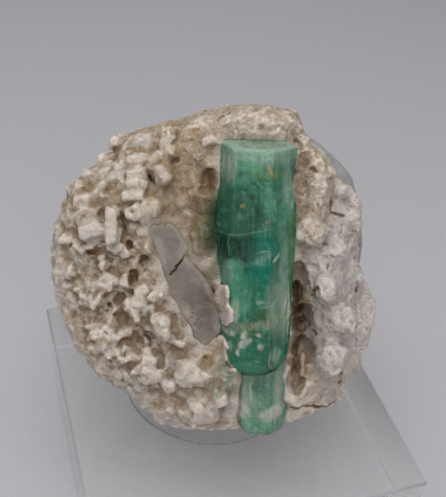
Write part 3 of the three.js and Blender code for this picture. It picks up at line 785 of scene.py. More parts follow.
def carved(p, smallest=0.0):
    """How deep the hollows and cracks go at each place, and how much brown dirt and painted shade darken
    them.
    """
    q = worn(worn(p, 1.5, 0.9, 80), 0.6, 0.4, 83)
    depth, dirt_and_shade = np.zeros(len(p)), np.zeros(len(p))
    for u, v, long, wide, turn, deep, dirt_and_shade_share in HOLLOWS:
        if long < smallest:
            continue
        bowl = np.sqrt(np.clip(1 - round_distance(q, u, v, long, wide, turn) ** 2, 0, 1))
        depth = np.maximum(depth, deep * bowl)
        dirt_and_shade = np.maximum(dirt_and_shade, dirt_and_shade_share * ease(bowl, 0.0, 0.8))
    for wide, deep, points in CRACKS:
        cut = np.clip(1 - line_distance(q, points) / wide, 0, 1)
        depth = np.maximum(depth, deep * cut)
        dirt_and_shade = np.maximum(dirt_and_shade, ease(cut, 0, 0.5))
    return depth * front_of(p), dirt_and_shade * front_of(p)


def zones(p):
    """Named regions of the rock's face, each from 0 to 1 at every point."""
    front = front_of(p)
    return {
        "blocky": patch(p, -18.0, 13, 11.5, 12, 0.3) * front,
        "vuggy": patch(p, -17.5, -8, 12, 13, 0.35) * front,
        "crown": patch(p, 4, 27, 19, 7, 0.4),
        "tan": patch(p, -5.5, 15, 6, 10.5, 0.4, 15) * front,
        "ledge": patch(p, 17, 15, 4.5, 10, 0.3) * front,
        "right": patch(p, 25, -4, 10, 20, 0.3),
        "foot": patch(p, -5, -26, 20, 8, 0.5) * front,
        "trough": patch(p, 15.0, -9, 2.2, 13, 0.4) * front,
        "greenish": patch(p, 1.6, -19.5, 2.6, 4.2, 0.5) * front,
        "smooth": patch(p, -5.5, 2, 5, 13, 0.4, 30) * front,
        "back": 1 - ease(p[:, 2], -20, -11),
    }


def rock_relief(p, zone):
    """How far the massive rock's skin stands out, in face units."""
    q = worn(p, 1.6, 0.5, 60)
    swell = rough_clouds(p, 7.0, 21) - 0.5
    burrow = ease(rough_clouds(p + 30, 2.6, 33), 0.55, 0.72)
    calm = 1 - 0.6 * zone["crown"] - 0.7 * zone["smooth"] - 0.45 * zone["tan"]
    calm = np.clip(calm, 0.2, 1) * (0.9 + 0.1 * front_of(p))
    relief = 1.1 * swell * (1 - 0.5 * zone["right"])
    calm = calm * (1 - 0.4 * zone["vuggy"]) * (1 - 0.6 * zone["right"])
    relief += calm * (0.6 * shards(q, 2.8, 5) + 0.35 * shards(q, 1.5, 15))
    relief -= burrow * calm * (0.1 + 0.15 * zone["vuggy"] + 0.4 * zone["blocky"] + 0.1 * zone["right"])
    relief += 0.4 * (zone["vuggy"] + zone["trough"] + zone["right"]) * (rough_clouds(q, 1.3, 36) - 0.5)
    relief -= 0.4 * zone["trough"]
    return relief - 0.2


def sugar(p, zone):
    """The fine grain of the rock's skin, in face units."""
    q = worn(p, 0.8, 0.35, 90)
    near, name = cells(q, 0.9, 9)
    grains = np.clip(0.75 - near, 0, 1) * (0.4 + name) - 0.25
    pits = ease(rough_clouds(p, 1.1, 94), 0.56, 0.72) * (0.12 + 0.55 * zone["right"] + 0.05 * zone["vuggy"])
    rough = 0.4 + 0.3 * zone["vuggy"] + 0.3 * zone["right"] + 0.3 * zone["crown"] + 0.3 * zone["ledge"]
    rough = rough * (1 - 0.6 * zone["smooth"])
    fine = 0.3 * grains + 0.3 * shards(q, 0.7, 25) + 0.35 * (rough_clouds(p, 0.55, 93) - 0.5)
    return rough * fine - 0.5 * pits + 0.15 * (rough_clouds(p, 0.9, 91) - 0.5)


def rock_colours(p, hollow, wide_hollow, zone):
    """The stain and tint of the feldspar at each point, with painted shade in its hollows and the trough
    beside the emerald, and painted highlight on its ridges.
    """
    outline = outline_distance(p)
    hollow = hollow * ease(outline, 0.5, 1.8)
    wide_hollow = wide_hollow * ease(outline, 0.5, 2.4)
    broad = rough_clouds(p, 6.5, 71)
    fine = rough_clouds(p + 9, 1.8, 72)
    grit = rough_clouds(p + 4, 0.7, 73)
    block = lattice(np.floor(worn(p, 1.5, 1.2, 74) / 1.9).astype(np.int64), 75)
    front, right, crown, stained = front_of(p), zone["right"], zone["crown"], zone["tan"]
    colour = tinted(
        np.tile(colours("albite"), (len(p), 1)),
        ("violet", 0.85 * right + 0.7 * zone["foot"]),
        ("cream", ease(broad + 0.3 * (fine - 0.5), 0.44, 0.66) * 0.75 * (1 - 0.75 * right)),
        ("cream", (block > 0.6) * 0.4 * (1 - right)),
        ("cream", 0.4 * zone["blocky"] + 0.15 * crown),
        ("cream", 0.6 * crown + 0.5 * zone["ledge"] + 0.8 * stained),
        ("tan", stained * ease(fine, 0.3, 0.65) * 0.65),
        ("ochre", stained * ease(broad + 0.3 * (grit - 0.5), 0.5, 0.65) * 0.35),
        ("tan", crown * ease(fine, 0.5, 0.75) * 0.35),
        ("quartz", zone["back"] * ease(broad, 0.5, 0.6) * 0.6),
        ("mint", zone["greenish"] * ease(fine, 0.25, 0.6) * 0.6),
    )
    # Ridges are painted whiter: partly the clean white crystals, partly painted highlight.
    ridge_white_and_highlight = ease(-wide_hollow, 0.05, 0.45) * (0.8 - 0.5 * stained - 0.6 * right)
    colour = mixed(colour, colours("albite") * 1.3, ridge_white_and_highlight)
    dirt_and_shade = carved(p)[1]
    # Broad hollows are painted tan: partly iron stain, partly painted shade.
    low = ease(wide_hollow + 0.35 * (fine - 0.5), -0.02, 0.34)
    low = low * (0.5 + 0.3 * zone["blocky"] + 0.3 * zone["vuggy"]) * (1 - 0.75 * right)
    low = np.maximum(low, dirt_and_shade)
    # Narrow deep hollows are painted crevice brown: partly dirt, partly painted shade.
    deep = ease(hollow + 0.3 * (grit - 0.5), 0.08, 0.32) * ease(fine, 0.3, 0.6)
    colour = tinted(
        colour,
        ("tan", np.clip(1.35 * low, 0, 0.95)),
        ("ochre", low * ease(broad, 0.48, 0.6) * ease(grit, 0.46, 0.6) * 0.45),
        ("crevice", 0.6 * deep * (1 - 0.5 * right)),
    )
    q = worn(p, 0.9, 0.8, 84)
    for u, v, long, wide, turn, name, strength in STAINS_AND_SHADE:
        colour = tinted(colour, (name, strength * faded_spot(q, u, v, long, wide, turn) * front))
    for u, v, long, wide, turn, _, white in CRYSTALS:
        body = 1 - ease(round_distance(p, u, v, long * 1.05, wide * 1.1, turn), 0.8, 1.1)
        colour = mixed(colour, colours("albite") * 1.2, white * 0.85 * body * front * (1 - 0.8 * dirt_and_shade))
    # The carved hollows and cracks are painted crevice brown: partly dirt, partly painted shade.
    colour = tinted(colour, ("crevice", 0.85 * ease(dirt_and_shade, 0.45, 1.0)))
    beside = ease(0.9 - outline + 3.0 * (fine - 0.5), 0.0, 1.0) * ease(p[:, 2], 1.0, 2.5)
    colour = mixed(colour, 0.7 * colours("quartz") + 0.3 * colours("cream"), 0.85 * beside)
    return colour * (0.9 + 0.2 * grit)[:, None]


def albite_material():
    """Sugary feldspar: tint and hollows from the mesh, grain, specks and glints from noise."""
    material, tree, shader = new_material("albite_sugar")
    mottle = mottle_node(tree, 0.5, 2.6, 1.5)
    light = ranged(tree, mottle["Clouds"], 0.3, 0.7, 0.9, 1.08)
    grain = ranged(tree, mottle["Grains"], 0.2, 0.95, 0.84, 1.08)
    tint = attribute_node(tree, "tint", "Color")
    colour = toned(tree, tint, math_node(tree, "MULTIPLY", light, grain))
    speck = math_node(tree, "MULTIPLY", mottle["Specks"], 0.4)
    dull = ranged(tree, attribute_node(tree, "hollow", "Fac"), -0.15, 0.15, 0.36, 0.62)
    surface = {
        "Base Color": mix_node(tree, speck, colour, (0.16, 0.095, 0.05, 1)),
        "Roughness": math_node(tree, "MULTIPLY", dull, grain),
        "Normal": bump_node(tree, mottle["Height"], 0.7, 0.2 * MM),
        "Subsurface Weight": 0.8,
        "Subsurface Radius": (1.0, 0.8, 0.62),
        "Subsurface Scale": 1.6 * MM,
        "IOR": 1.53,
    }
    fill(tree, shader, surface)
    return material


# ---- Albite crystals grown into the rock ----
def blade_shape():
    """One albite crystal, two units long along x: a block narrowed at its ends, with bevelled edges."""
    deselect()
    bpy.ops.mesh.primitive_cube_add(size=2)
    blade = bpy.context.object
    blade.name = "blade_shape"
    for sign in (1, -1):
        clear_selection(blade.data)
        for polygon in blade.data.polygons:
            polygon.select = polygon.normal.x * sign > 0.9
        bpy.ops.object.mode_set(mode="EDIT")
        bpy.ops.transform.resize(value=(1, 0.78, 0.8))
        bpy.ops.object.mode_set(mode="OBJECT")
    bevel = blade.modifiers.new("edges", "BEVEL")
    bevel.width = 0.2
    bevel.segments = 1
    apply_modifiers(blade)
    return blade


def lump_shape():
    """One rounded grain, two units across."""
    deselect()
    bpy.ops.mesh.primitive_ico_sphere_add(subdivisions=2, radius=1)
    lump = bpy.context.object
    lump.name = "lump_shape"
    return lump


def turned(random, out, spread):
    """Random frames whose third axis leans out of the surface."""
    count = len(out)
    third = out + spread * random.normal(size=(count, 3))
    third /= np.linalg.norm(third, axis=1)[:, None]
    first = np.cross(third, random.normal(size=(count, 3)))
    first /= np.linalg.norm(first, axis=1)[:, None]
    return np.stack([first, np.cross(third, first), third], axis=2)


def scattered(rock, count, weigh, random):
    """Places on the rock with its normal there, chosen by area and weight."""
    mesh = rock.data
    mesh.calc_loop_triangles()
    corners = np.zeros(len(mesh.loop_triangles) * 3, dtype=np.int64)
    mesh.loop_triangles.foreach_get("vertices", corners)
    corners = corners.reshape(-1, 3)
    places = vertices_of(rock)
    a, b, c = (places[corners[:, k]] for k in range(3))
    area = np.linalg.norm(np.cross(b - a, c - a), axis=1)
    weight = area * weigh[corners].min(1)
    chosen = random.choice(len(corners), size=count, p=weight / weight.sum())
    mix = random.dirichlet((1, 1, 1), size=count)
    spot = np.einsum("ni,nij->nj", mix, places[corners[chosen]])
    normal = normals_of(rock)[corners[chosen]].mean(1)
    return spot, normal / np.linalg.norm(normal, axis=1)[:, None]


def crop_of(name, shape_maker, spots, frames, halves, random):
    """Many crystals of one shape as one mesh, each copy stretched and a little uneven."""
    shape = shape_maker()
    corners = vertices_of(shape)
    faces = [tuple(polygon.vertices) for polygon in shape.data.polygons]
    bpy.data.objects.remove(shape)
    count, size = len(spots), len(corners)
    uneven = 1 + 0.16 * random.uniform(-1, 1, (count, 2, 2, 2, 3))
    side = (corners > 0).astype(int)
    own = corners[None] * uneven[:, side[:, 0], side[:, 1], side[:, 2]]
    places = np.einsum("nij,nkj->nki", frames, own * halves[:, None, :]) + spots[:, None, :]
    all_faces = [tuple(i + k * size for i in face) for k in range(count) for face in faces]
    mesh = bpy.data.meshes.new(name)
    mesh.from_pydata(places.reshape(-1, 3).tolist(), [], all_faces)
    crop = bpy.data.objects.new(name, mesh)
    bpy.context.scene.collection.objects.link(crop)
    return crop


def free_of_crystals(places):
    """1 away from the emeralds and the face quartz, 0 on and right beside them."""
    free = np.ones(len(places))
    for node, reach in (("emerald_crystal", 0.9), ("emerald_stub", 0.8), ("face_quartz", 1.1)):
        for i, spot, normal, distance in nearest_on(node, places, reach * MM):
            if distance < reach * MM or (Vector(places[i]) - spot).dot(normal) < 0:
                free[i] = 0.0
    return free


def surface_under(tree, u, v):
    """The rock's face at u, v: how far out it lies."""
    start = Vector(from_face(np.array([[u, v, IN_FRONT]]))[0])
    spot = tree.ray_cast(start, -FACE_OUT)[0]
    if spot is None:
        raise RuntimeError(f"no rock under the crystal at {u}, {v}")
    return to_face(np.array([spot]))[0][2]


def placed_crystals(rock, random):
    """The crystals that stand out on the face, each laid in its own place."""
    tree = tree_of(rock)
    spots, frames, halves = [], [], []
    for u, v, long, wide, turn, lean, _ in CRYSTALS:
        thick = 0.75 * wide + 0.25
        out = surface_under(tree, u, v) + 0.25 * thick
        spots.append((u, v, out))
        place = Matrix.Rotation(math.radians(turn), 3, "Z") @ Matrix.Rotation(math.radians(-lean), 3, "Y")
        place = place @ Matrix.Rotation(math.radians(random.uniform(-14, 14)), 3, "X")
        frames.append(FACE_TURN @ np.array(place))
        halves.append((long, wide, thick))
    spots = from_face(np.array(spots))
    halves = np.array(halves) * FACE_UNIT
    return crop_of("placed_crystals", blade_shape, spots, np.array(frames), halves, random)


def grown_crystals(rock, random):
    """Blades packed over the open parts, rounded grains on the right and around."""
    places = vertices_of(rock)
    p = to_face(places)
    zone = zones(p)
    free = free_of_crystals(places) * (0.15 + 0.85 * facing(rock, 0.1, 0.6))
    clean = 1 - 0.85 * carved(p)[1]
    clumps = 0.15 + ease(rough_clouds(p, 3.5, 61), 0.42, 0.6)
    blocky, vuggy = zone["blocky"] * clean, zone["vuggy"] * clean
    right, ledge = zone["right"], zone["ledge"]
    open_parts = (blocky + 0.06 * vuggy) * clumps
    among = blocky + (0.25 * vuggy + 0.1 * front_of(p) * (1 - right) + 0.5 * zone["trough"]) * clumps
    around = 0.3 + 0.5 * right + 0.5 * zone["crown"] + 0.6 * ledge + 0.8 * zone["vuggy"]
    # Name, shape, where, lengths, slimness, spread of the frames, how far each is lifted out.
    kinds = (
        ("blades", blade_shape, open_parts, (0.7, 1.7), (0.5, 0.95), 0.3, -0.45),
        ("small_blades", blade_shape, among, (0.35, 0.95), (0.5, 0.95), 0.4, -0.25),
        ("lumps", lump_shape, right + 0.2 * ledge, (0.4, 1.1), (0.75, 0.95), 0.2, -0.8),
        ("grains", lump_shape, around, (0.25, 0.55), (0.6, 0.95), 0.4, -0.35),
    )
    crops = []
    for name, shape, weigh, lengths, slim, spread, lift in kinds:
        count = getattr(sizes(), name)
        spots, normals = scattered(rock, count, weigh * free + 1e-9, random)
        half = lengths[0] + (lengths[1] - lengths[0]) * random.beta(1.2, 2.6, count)
        aspect = np.stack([np.ones(count), random.uniform(*slim, count), random.uniform(*slim, count)], 1)
        halves = half[:, None] * aspect * FACE_UNIT
        spots = spots + normals * (halves[:, 2] * lift)[:, None]
        crops.append(crop_of(name, shape, spots, turned(random, normals, spread), halves, random))
    return crops


def joined(pieces):
    deselect()
    for piece in pieces:
        piece.select_set(True)
    bpy.context.view_layer.objects.active = pieces[0]
    bpy.ops.object.join()
    return pieces[0]


def thinned(piece, triangles):
    """Fewer triangles, left out first where the surface is flat."""
    count = sum(len(polygon.vertices) - 2 for polygon in piece.data.polygons)
    if count > triangles:
        fewer = piece.modifiers.new("fewer_faces", "DECIMATE")
        fewer.ratio = triangles / count
        apply_modifiers(piece)


def distance_to_emeralds(places):
    """How far each place lies from the nearer emerald, in millimetres."""
    nearest = np.full(len(places), 9.0)
    for node in ("emerald_crystal", "emerald_stub"):
        for i, _, _, distance in nearest_on(node, places, 3 * MM):
            nearest[i] = min(nearest[i], distance / MM)
    return nearest


def quartz_rim():
    """The outline of the quartz grain's face, as pairs of points, and how far out the face lies."""
    grain = node_copy("face_quartz", "grain_outline")
    p = to_face(vertices_of(grain))
    level = p[:, 2].max()
    sides = [list(side.vertices) for side in grain.data.polygons]
    sides = [set(side) for side in sides if p[side, 2].min() < level - 0.5]
    rim = []
    for pair in edges_of(grain):
        if p[pair, 2].min() > level - 0.05 and any(set(pair.tolist()) <= side for side in sides):
            rim.append(p[pair, :2])
    bpy.data.objects.remove(grain)
    return rim, level


def outline_distance(p):
    """How far each place lies on the face from the quartz grain's outline."""
    nearest = np.full(len(p), 99.0)
    for pair in quartz_rim()[0]:
        nearest = np.minimum(nearest, line_distance(p, pair))
    return nearest


def flush_with_quartz(p):
    """Brings the rock level with the quartz grain's face around its outline."""
    near = 1 - ease(outline_distance(p) + 0.8 * (rough_clouds(p, 1.5, 63) - 0.5), 0.4, 1.8)
    near = near * ease(p[:, 2], 1.5, 2.3) * (1 - lapping(p))
    p[:, 2] += near * (quartz_rim()[1] + 0.03 - p[:, 2])
    return p


def lapping(p):
    """1 where the crust of rock laps over an emerald."""
    over = np.zeros(len(p))
    for u, v, long, wide, turn in LAPS:
        over = np.maximum(over, round_distance(p, u, v, 1.25 * long, 1.25 * wide, turn) < 1)
    return over


def laid_knobs(random):
    """The knobs of rock that each have their own place."""
    table = np.array(KNOBS)
    turns = [Matrix.Rotation(math.radians(turn), 3, "Z") for turn in table[:, 6]]
    frames = np.array([FACE_TURN @ np.array(turn) for turn in turns])
    halves = table[:, 3:6] * FACE_UNIT
    return crop_of("laid_knobs", lump_shape, from_face(table[:, :3]), frames, halves, random)


def lapping_crust(random):
    """Crumbs of rock packed over the emeralds' edges, lying on the crystals."""
    trees = [tree_of(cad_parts[node]) for node in ("emerald_crystal", "emerald_stub", "matrix")]
    spots = []
    for u, v, long, wide, turn in LAPS:
        c, s = math.cos(math.radians(turn)), math.sin(math.radians(turn))
        for _ in range(int(50 * long * wide) + 12):
            reach, angle = math.sqrt(random.uniform()), random.uniform(0, 2 * math.pi)
            a, b = long * reach * math.cos(angle), wide * reach * math.sin(angle)
            place = np.array([[u + a * c - b * s, v + a * s + b * c, IN_FRONT]])
            start = Vector(from_face(place)[0])
            hits = [tree.ray_cast(start, -FACE_OUT)[0] for tree in trees]
            hits = [to_face(np.array([hit]))[0] for hit in hits if hit is not None]
            spots.append(max(hits, key=lambda hit: hit[2]))
    spots = np.array(spots)
    half = random.uniform(0.3, 0.7, len(spots))
    halves = half[:, None] * random.uniform(0.7, 1.1, (len(spots), 3)) * FACE_UNIT
    halves[:, 2] *= 0.7
    frames = turned(random, np.tile(FACE_TURN[:, 2], (len(spots), 1)), 0.5)
    return crop_of("lapping_crust", lump_shape, from_face(spots), frames, halves, random)


def pressed_rock(rock, node, reach):
    """Draws the rock onto a piece grown into it and smooths the join."""
    p = to_face(vertices_of(rock))
    mask = 1.0 - lapping(p)
    if node == "face_quartz":
        mask = mask * (1 - ease(p[:, 2], 2.6, 2.9))
    before = vertices_of(rock)
    pressed_against(rock, node, reach * MM, mask)
    places = vertices_of(rock)
    drawn = ease(np.linalg.norm(places - before, axis=1) / MM, 0.02, 0.2)[:, None]
    set_vertices(rock, places + drawn * (relaxed(places, edges_of(rock), 8) - places))
    pressed_against(rock, node, 0.25 * MM, mask)


class SPECIMEN_OT_rock(bpy.types.Operator):
    """Carves the feldspar matrix: knobs, hollows, cracks, the crystals grown into it, its stains, and the
    shade and highlights painted into its colour
    """

    bl_idname = "specimen.rock"
    bl_label = "Feldspar matrix"

    def execute(self, context):
        random = np.random.RandomState(SEED)
        rock = node_copy("matrix", "rock")
        remeshed(rock, 1.5 * sizes().rock_face)
        places = relaxed(vertices_of(rock), edges_of(rock), 5)
        set_vertices(rock, places)
        p = to_face(places)
        relief = rock_relief(p, zones(p)) * ease(distance_to_emeralds(places), 0.6, 2.2)
        p = to_face(raised(rock, places, relief))
        p[:, 2] -= 0.8 * carved(p, smallest=0.85)[0] * facing(rock, -0.3, 0.2)
        set_vertices(rock, from_face(p))
        crops = [placed_crystals(rock, random), laid_knobs(random), lapping_crust(random)]
        rock = joined([rock, *crops, *grown_crystals(rock, random)])
        remeshed(rock, sizes().rock_face)
        set_vertices(rock, relaxed(vertices_of(rock), edges_of(rock), 1, 0.4))
        p = to_face(vertices_of(rock))
        p[:, 2] -= 0.7 * carved(p)[0] * facing(rock, -0.3, 0.2)
        set_vertices(rock, from_face(flush_with_quartz(p)))
        remeshed(rock, sizes().rock_face)
        p = to_face(vertices_of(rock))
        places = from_face(p + normals_of(rock) @ FACE_TURN * sugar(p, zones(p))[:, None])
        set_vertices(rock, relaxed(places, edges_of(rock), 1, 0.25))
        thinned(rock, ROCK_TRIANGLES)
        for node, reach in GROWN_IN:
            pressed_rock(rock, node, reach)
        places = vertices_of(rock)
        places[:, 2] = np.maximum(places[:, 2], SEAT_TOP.z + SEAT_GAP)
        set_in_box(rock, places)
        hollow, wide_hollow = hollowness(rock, 5), hollowness(rock, 34)
        p = to_face(vertices_of(rock))
        paint(rock, "hollow", hollow)
        paint(rock, "tint", rock_colours(p, hollow, wide_hollow, zones(p)))
        finished(rock, albite_material())
        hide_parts("matrix")
        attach(rock, "root")
        return {"FINISHED"}


# ---- The emeralds ----
# What shows in the long emerald: u, v, half length, half width, turn of the length from +u, colour,
# strength, how patchy it is from 0 to 1. Later ones lie over earlier ones.
EMERALD_PATCHES = (
    (10.6, 13.0, 6.0, 2.6, 90, "pale", 0.5, 0.5),
    (7.0, 21.6, 8.0, 2.7, -3, "mint", 0.85, 0.15),
    (2.2, 18.9, 3.0, 1.5, 90, "mint", 0.8, 0.25),
    (12.2, 15.6, 4.6, 1.1, 92, "mint", 0.7, 0.4),
    (5.6, 19.3, 2.4, 1.2, -5, "pale", 0.8, 0.2),
    (8.4, 18.2, 3.0, 1.5, 0, "olive", 0.4, 0.4),
    (4.6, 17.2, 2.0, 0.9, 20, "pale", 0.6, 0.3),
    (2.2, 19.4, 2.0, 0.22, 84, "frosty", 0.5, 0.3),
    (1.2, 19.8, 1.6, 0.2, 88, "frosty", 0.5, 0.3),
    (3.0, 15.2, 2.4, 1.3, 12, "teal", 0.55, 0.2),
    (3.2, 15.0, 2.0, 1.0, 12, "shade", 0.4, 0.4),
    (2.4, 12.2, 3.4, 2.8, 0, "green", 0.7, 0.2),
    (2.0, 12.6, 2.8, 2.0, 0, "shade", 0.3, 0.5),
    (1.2, 11.7, 0.8, 0.5, 0, "pale", 0.6, 0.3),
    (6.2, 14.3, 1.4, 0.6, 0, "shade", 0.5, 0.6),
    (10.0, 15.5, 1.0, 0.5, 10, "shade", 0.5, 0.6),
    (7.2, 11.2, 2.6, 1.7, 90, "shade", 0.5, 0.5),
    (8.7, 8.6, 2.0, 1.2, 90, "green", 0.6, 0.4),
    (4.2, 9.6, 7.0, 3.4, 90, "shade", 0.5, 0.15),
    (8.7, 18.8, 0.8, 0.35, -50, "ochre", 0.6, 0.4),
    (9.4, 17.9, 0.9, 0.4, -35, "ochre", 0.55, 0.4),
    (11.8, 17.8, 0.6, 0.4, 0, "ochre", 0.35, 0.3),
    (4.3, 12.7, 0.45, 0.35, 0, "ochre", 0.6, 0.2),
    (9.9, 13.3, 0.5, 0.35, 90, "ochre", 0.4, 0.2),
    (8.3, 9.8, 0.8, 0.3, 80, "ochre", 0.5, 0.2),
    (4.0, 11.0, 0.8, 0.5, 0, "olive", 0.5, 0.3),
    (12.9, 12.6, 1.4, 0.4, 70, "mint", 0.7, 0.5),
    (12.9, 10.4, 1.6, 0.8, 90, "olive", 0.5, 0.3),
    (0.3, 9.2, 0.6, 0.45, 0, "mint", 0.7, 0.4),
    (8.2, 4.6, 4.2, 2.6, 90, "teal", 0.95, 0.1),
    (7.0, 0.9, 2.6, 1.7, 10, "teal", 0.95, 0.1),
    (3.8, 5.4, 4.8, 2.3, -4, "shade", 0.7, 0.3),
    (1.8, 5.6, 3.4, 2.3, 0, "shade", 0.9, 0.15),
    (3.6, 4.2, 2.2, 0.9, -10, "shade", 0.6, 0.3),
    (0.3, 6.5, 1.1, 0.2, 90, "pale", 0.6, 0.4),
    (2.2, 5.9, 1.9, 0.2, 90, "pale", 0.5, 0.5),
    (1.2, 5.6, 1.5, 0.1, 90, "pale", 0.4, 0.4),
    (8.0, 4.0, 1.9, 0.9, 28, "mint", 0.5, 0.75),
    (7.9, 5.1, 1.5, 0.14, 10, "mint", 0.6, 0.3),
    (6.9, 3.4, 1.0, 0.12, -50, "mint", 0.6, 0.3),
    (10.2, 3.8, 0.9, 0.24, 62, "frosty", 0.75, 0.4),
    (10.8, 2.2, 1.4, 0.22, 90, "ochre", 0.5, 0.2),
    (11.7, 3.0, 6.4, 1.0, 90, "mint", 0.6, 0.35),
    (12.9, 4.0, 6.0, 0.4, 90, "olive", 0.65, 0.2),
    (2.6, 1.0, 3.0, 1.7, 70, "pale", 0.95, 0.1),
    (2.0, 1.2, 2.2, 1.0, 80, "mint", 0.5, 0.3),
    (4.2, -2.8, 3.6, 2.0, 80, "pale", 0.75, 0.25),
    (7.0, -2.0, 3.2, 2.2, 0, "green", 0.5, 0.3),
    (8.6, -1.2, 1.8, 2.2, 0, "teal", 0.5, 0.3),
    (7.8, -6.1, 1.8, 1.0, 15, "moss", 0.9, 0.25),
    (11.8, -5.5, 6.6, 1.0, 90, "mint", 0.75, 0.4),
    (6.4, -7.9, 4.6, 0.9, 7, "cream", 0.45, 0.55),
    (10.6, -6.6, 1.8, 0.9, 50, "olive", 0.5, 0.4),
    (10.4, -5.0, 5.6, 2.0, 90, "frosty", 0.38, 0.35),
    (3.0, -1.2, 3.4, 1.6, 85, "green", 0.3, 0.3),
    # A painted glint.
    (7.4, -3.8, 1.0, 0.3, -10, "mint", 0.8, 0.8),
    (11.7, -5.0, 1.6, 0.3, 80, "frosty", 0.8, 0.3),
    (10.7, -8.7, 1.8, 0.3, 75, "mint", 0.7, 0.6),
    (12.6, -5.5, 6.0, 0.22, 91, "frosty", 0.9, 0.2),
    (6.6, -9.4, 1.7, 0.7, 0, "moss", 0.85, 0.3),
    (2.3, -10.6, 1.6, 0.55, 0, "moss", 0.8, 0.3),
    (5.5, -14.2, 4.4, 2.8, 0, "green", 0.7, 0.1),
    (5.6, -15.6, 3.6, 1.4, 0, "pale", 0.5, 0.3),
    (2.0, -9.2, 1.2, 0.6, 0, "frosty", 0.85, 0.45),
    (4.7, -9.6, 0.9, 0.7, 60, "frosty", 0.85, 0.4),
    (4.9, -11.0, 1.4, 0.8, 35, "frosty", 0.9, 0.4),
    (3.9, -12.7, 0.8, 0.3, 90, "frosty", 0.9, 0.2),
    (7.2, -9.4, 0.5, 0.42, 0, "frosty", 0.85, 0.2),
    (7.6, -11.8, 0.6, 0.6, 0, "frosty", 0.6, 0.5),
    (1.7, -12.0, 1.0, 0.9, 0, "frosty", 0.9, 0.2),
    (7.0, -14.0, 0.45, 0.25, 0, "mint", 0.7, 0.3),
    (9.3, -14.1, 1.8, 0.16, 90, "frosty", 0.95, 0.0),
    (10.4, -13.6, 2.0, 0.9, 90, "mint", 0.75, 0.2),
    (2.8, -6.2, 3.0, 1.2, 80, "frosty", 0.5, 0.5),
)
# Lines in it: half width, colour, strength, and the points they run through.
EMERALD_LINES = (
    (0.26, "shade", 0.95, ((0.8, -1.3), (1.4, -2.1), (2.3, -3.2))),
    (0.13, "mint", 0.35, ((-0.6, 8.1), (2.0, 7.9), (4.0, 7.9), (6.9, 8.5), (8.6, 8.9))),
    (0.3, "mint", 0.4, ((7.5, -4.6), (9.5, -4.4), (10.8, -3.2), (11.0, -1.0))),
    (0.35, "frosty", 0.75, ((0.9, -13.3), (2.3, -15.2), (4.0, -17.3))),
    (0.14, "mint", 0.35, ((9.4, 11.4), (9.7, 10.3))),
    (0.14, "mint", 0.35, ((10.8, 10.0), (10.9, 9.1))),
    (0.14, "mint", 0.3, ((11.4, 10.0), (11.7, 9.4))),
    (0.14, "mint", 0.3, ((8.3, 9.0), (8.2, 7.6))),
    (0.14, "mint", 0.3, ((6.6, 16.9), (7.8, 15.7))),
)
# The same for the paler stub below.
STUB_PATCHES = (
    (8.8, -21.8, 4.2, 1.2, 90, "green", 0.45, 0.3),
    (4.0, -20.8, 2.4, 0.8, 90, "shadow", 0.7, 0.2),
    (4.1, -20.6, 2.4, 0.6, 90, "shade", 0.65, 0.3),
    (5.4, -21.4, 2.8, 0.6, 90, "mint", 0.7, 0.3),
    (7.2, -20.2, 1.8, 1.0, 90, "shade", 0.55, 0.4),
    # A painted highlight along the prism edge.
    (6.2, -21.4, 2.6, 0.14, 90, "frosty", 0.8, 0.1),
    (11.2, -21.8, 4.4, 0.8, 90, "mint", 0.8, 0.3),
    (11.2, -21.0, 3.6, 0.5, 90, "cream", 0.4, 0.4),
    (4.2, -24.8, 1.6, 1.8, 20, "frosty", 0.9, 0.35),
    (10.8, -25.2, 1.4, 1.6, 0, "frosty", 0.85, 0.35),
    (7.4, -27.4, 3.2, 1.4, 0, "pale", 0.6, 0.3),
    (9.6, -25.6, 2.6, 1.3, 10, "frosty", 0.65, 0.35),
    (5.0, -22.6, 3.4, 0.9, 88, "shadow", 0.5, 0.3),
)


def along(p, squeeze):
    """Places squeezed along v, so that noise there runs along the crystals."""
    return p * np.array([1.0, squeeze, 1.0])


def emerald_relief(p, seed):
    """Lengthwise striations, shallow pits and worn spots, in face units."""
    fine = clouds(along(p, 0.06), 0.35, seed) - 0.5
    broad = clouds(along(p, 0.06), 1.1, seed + 3) - 0.5
    pits = ease(clouds(along(p, 0.5), 0.9, seed + 5), 0.74, 0.95)
    chips = ease(rough_clouds(p, 1.6, seed + 8), 0.6, 0.78)
    crust = patch(p, 4.5, -10.3, 5.5, 2.2, 0.4) * (rough_clouds(p, 0.8, seed + 9) - 0.35)
    crack = np.clip(1 - line_distance(p, EMERALD_LINES[0][3]) / 0.3, 0, 1)
    return 0.07 * fine + 0.14 * broad - 0.14 * pits - 0.12 * chips + 0.5 * crust - 0.4 * crack


def stub_relief(p, seed):
    """Like the long emerald's, with a thicker crust at its foot."""
    crust = patch(p, 7.5, -27, 6, 3.5, 0.5) * (rough_clouds(p, 1.0, seed + 9) - 0.4)
    chips = ease(rough_clouds(p, 1.4, seed + 8), 0.55, 0.75)
    return 0.14 * (clouds(along(p, 0.08), 0.8, seed) - 0.5) - 0.18 * chips + 0.5 * crust


def patched(p, colour, patches, seed):
    """Lays patches of colour over one another, each broken up by noise as much as it asks for."""
    q = worn(worn(p, 1.6, 0.6, seed), 0.5, 0.3, seed + 5)
    noise = 0.6 * rough_clouds(along(p, 0.5), 0.8, seed + 9)
    noise += 0.4 * rough_clouds(along(p, 0.5), 0.35, seed + 10)
    for u, v, long, wide, turn, name, strength, patchy in patches:
        broken = 1 - patchy * (1 - ease(noise, 0.36, 0.62))
        colour = tinted(colour, (name, strength * faded_spot(q, u, v, long, wide, turn) * broken))
    return colour


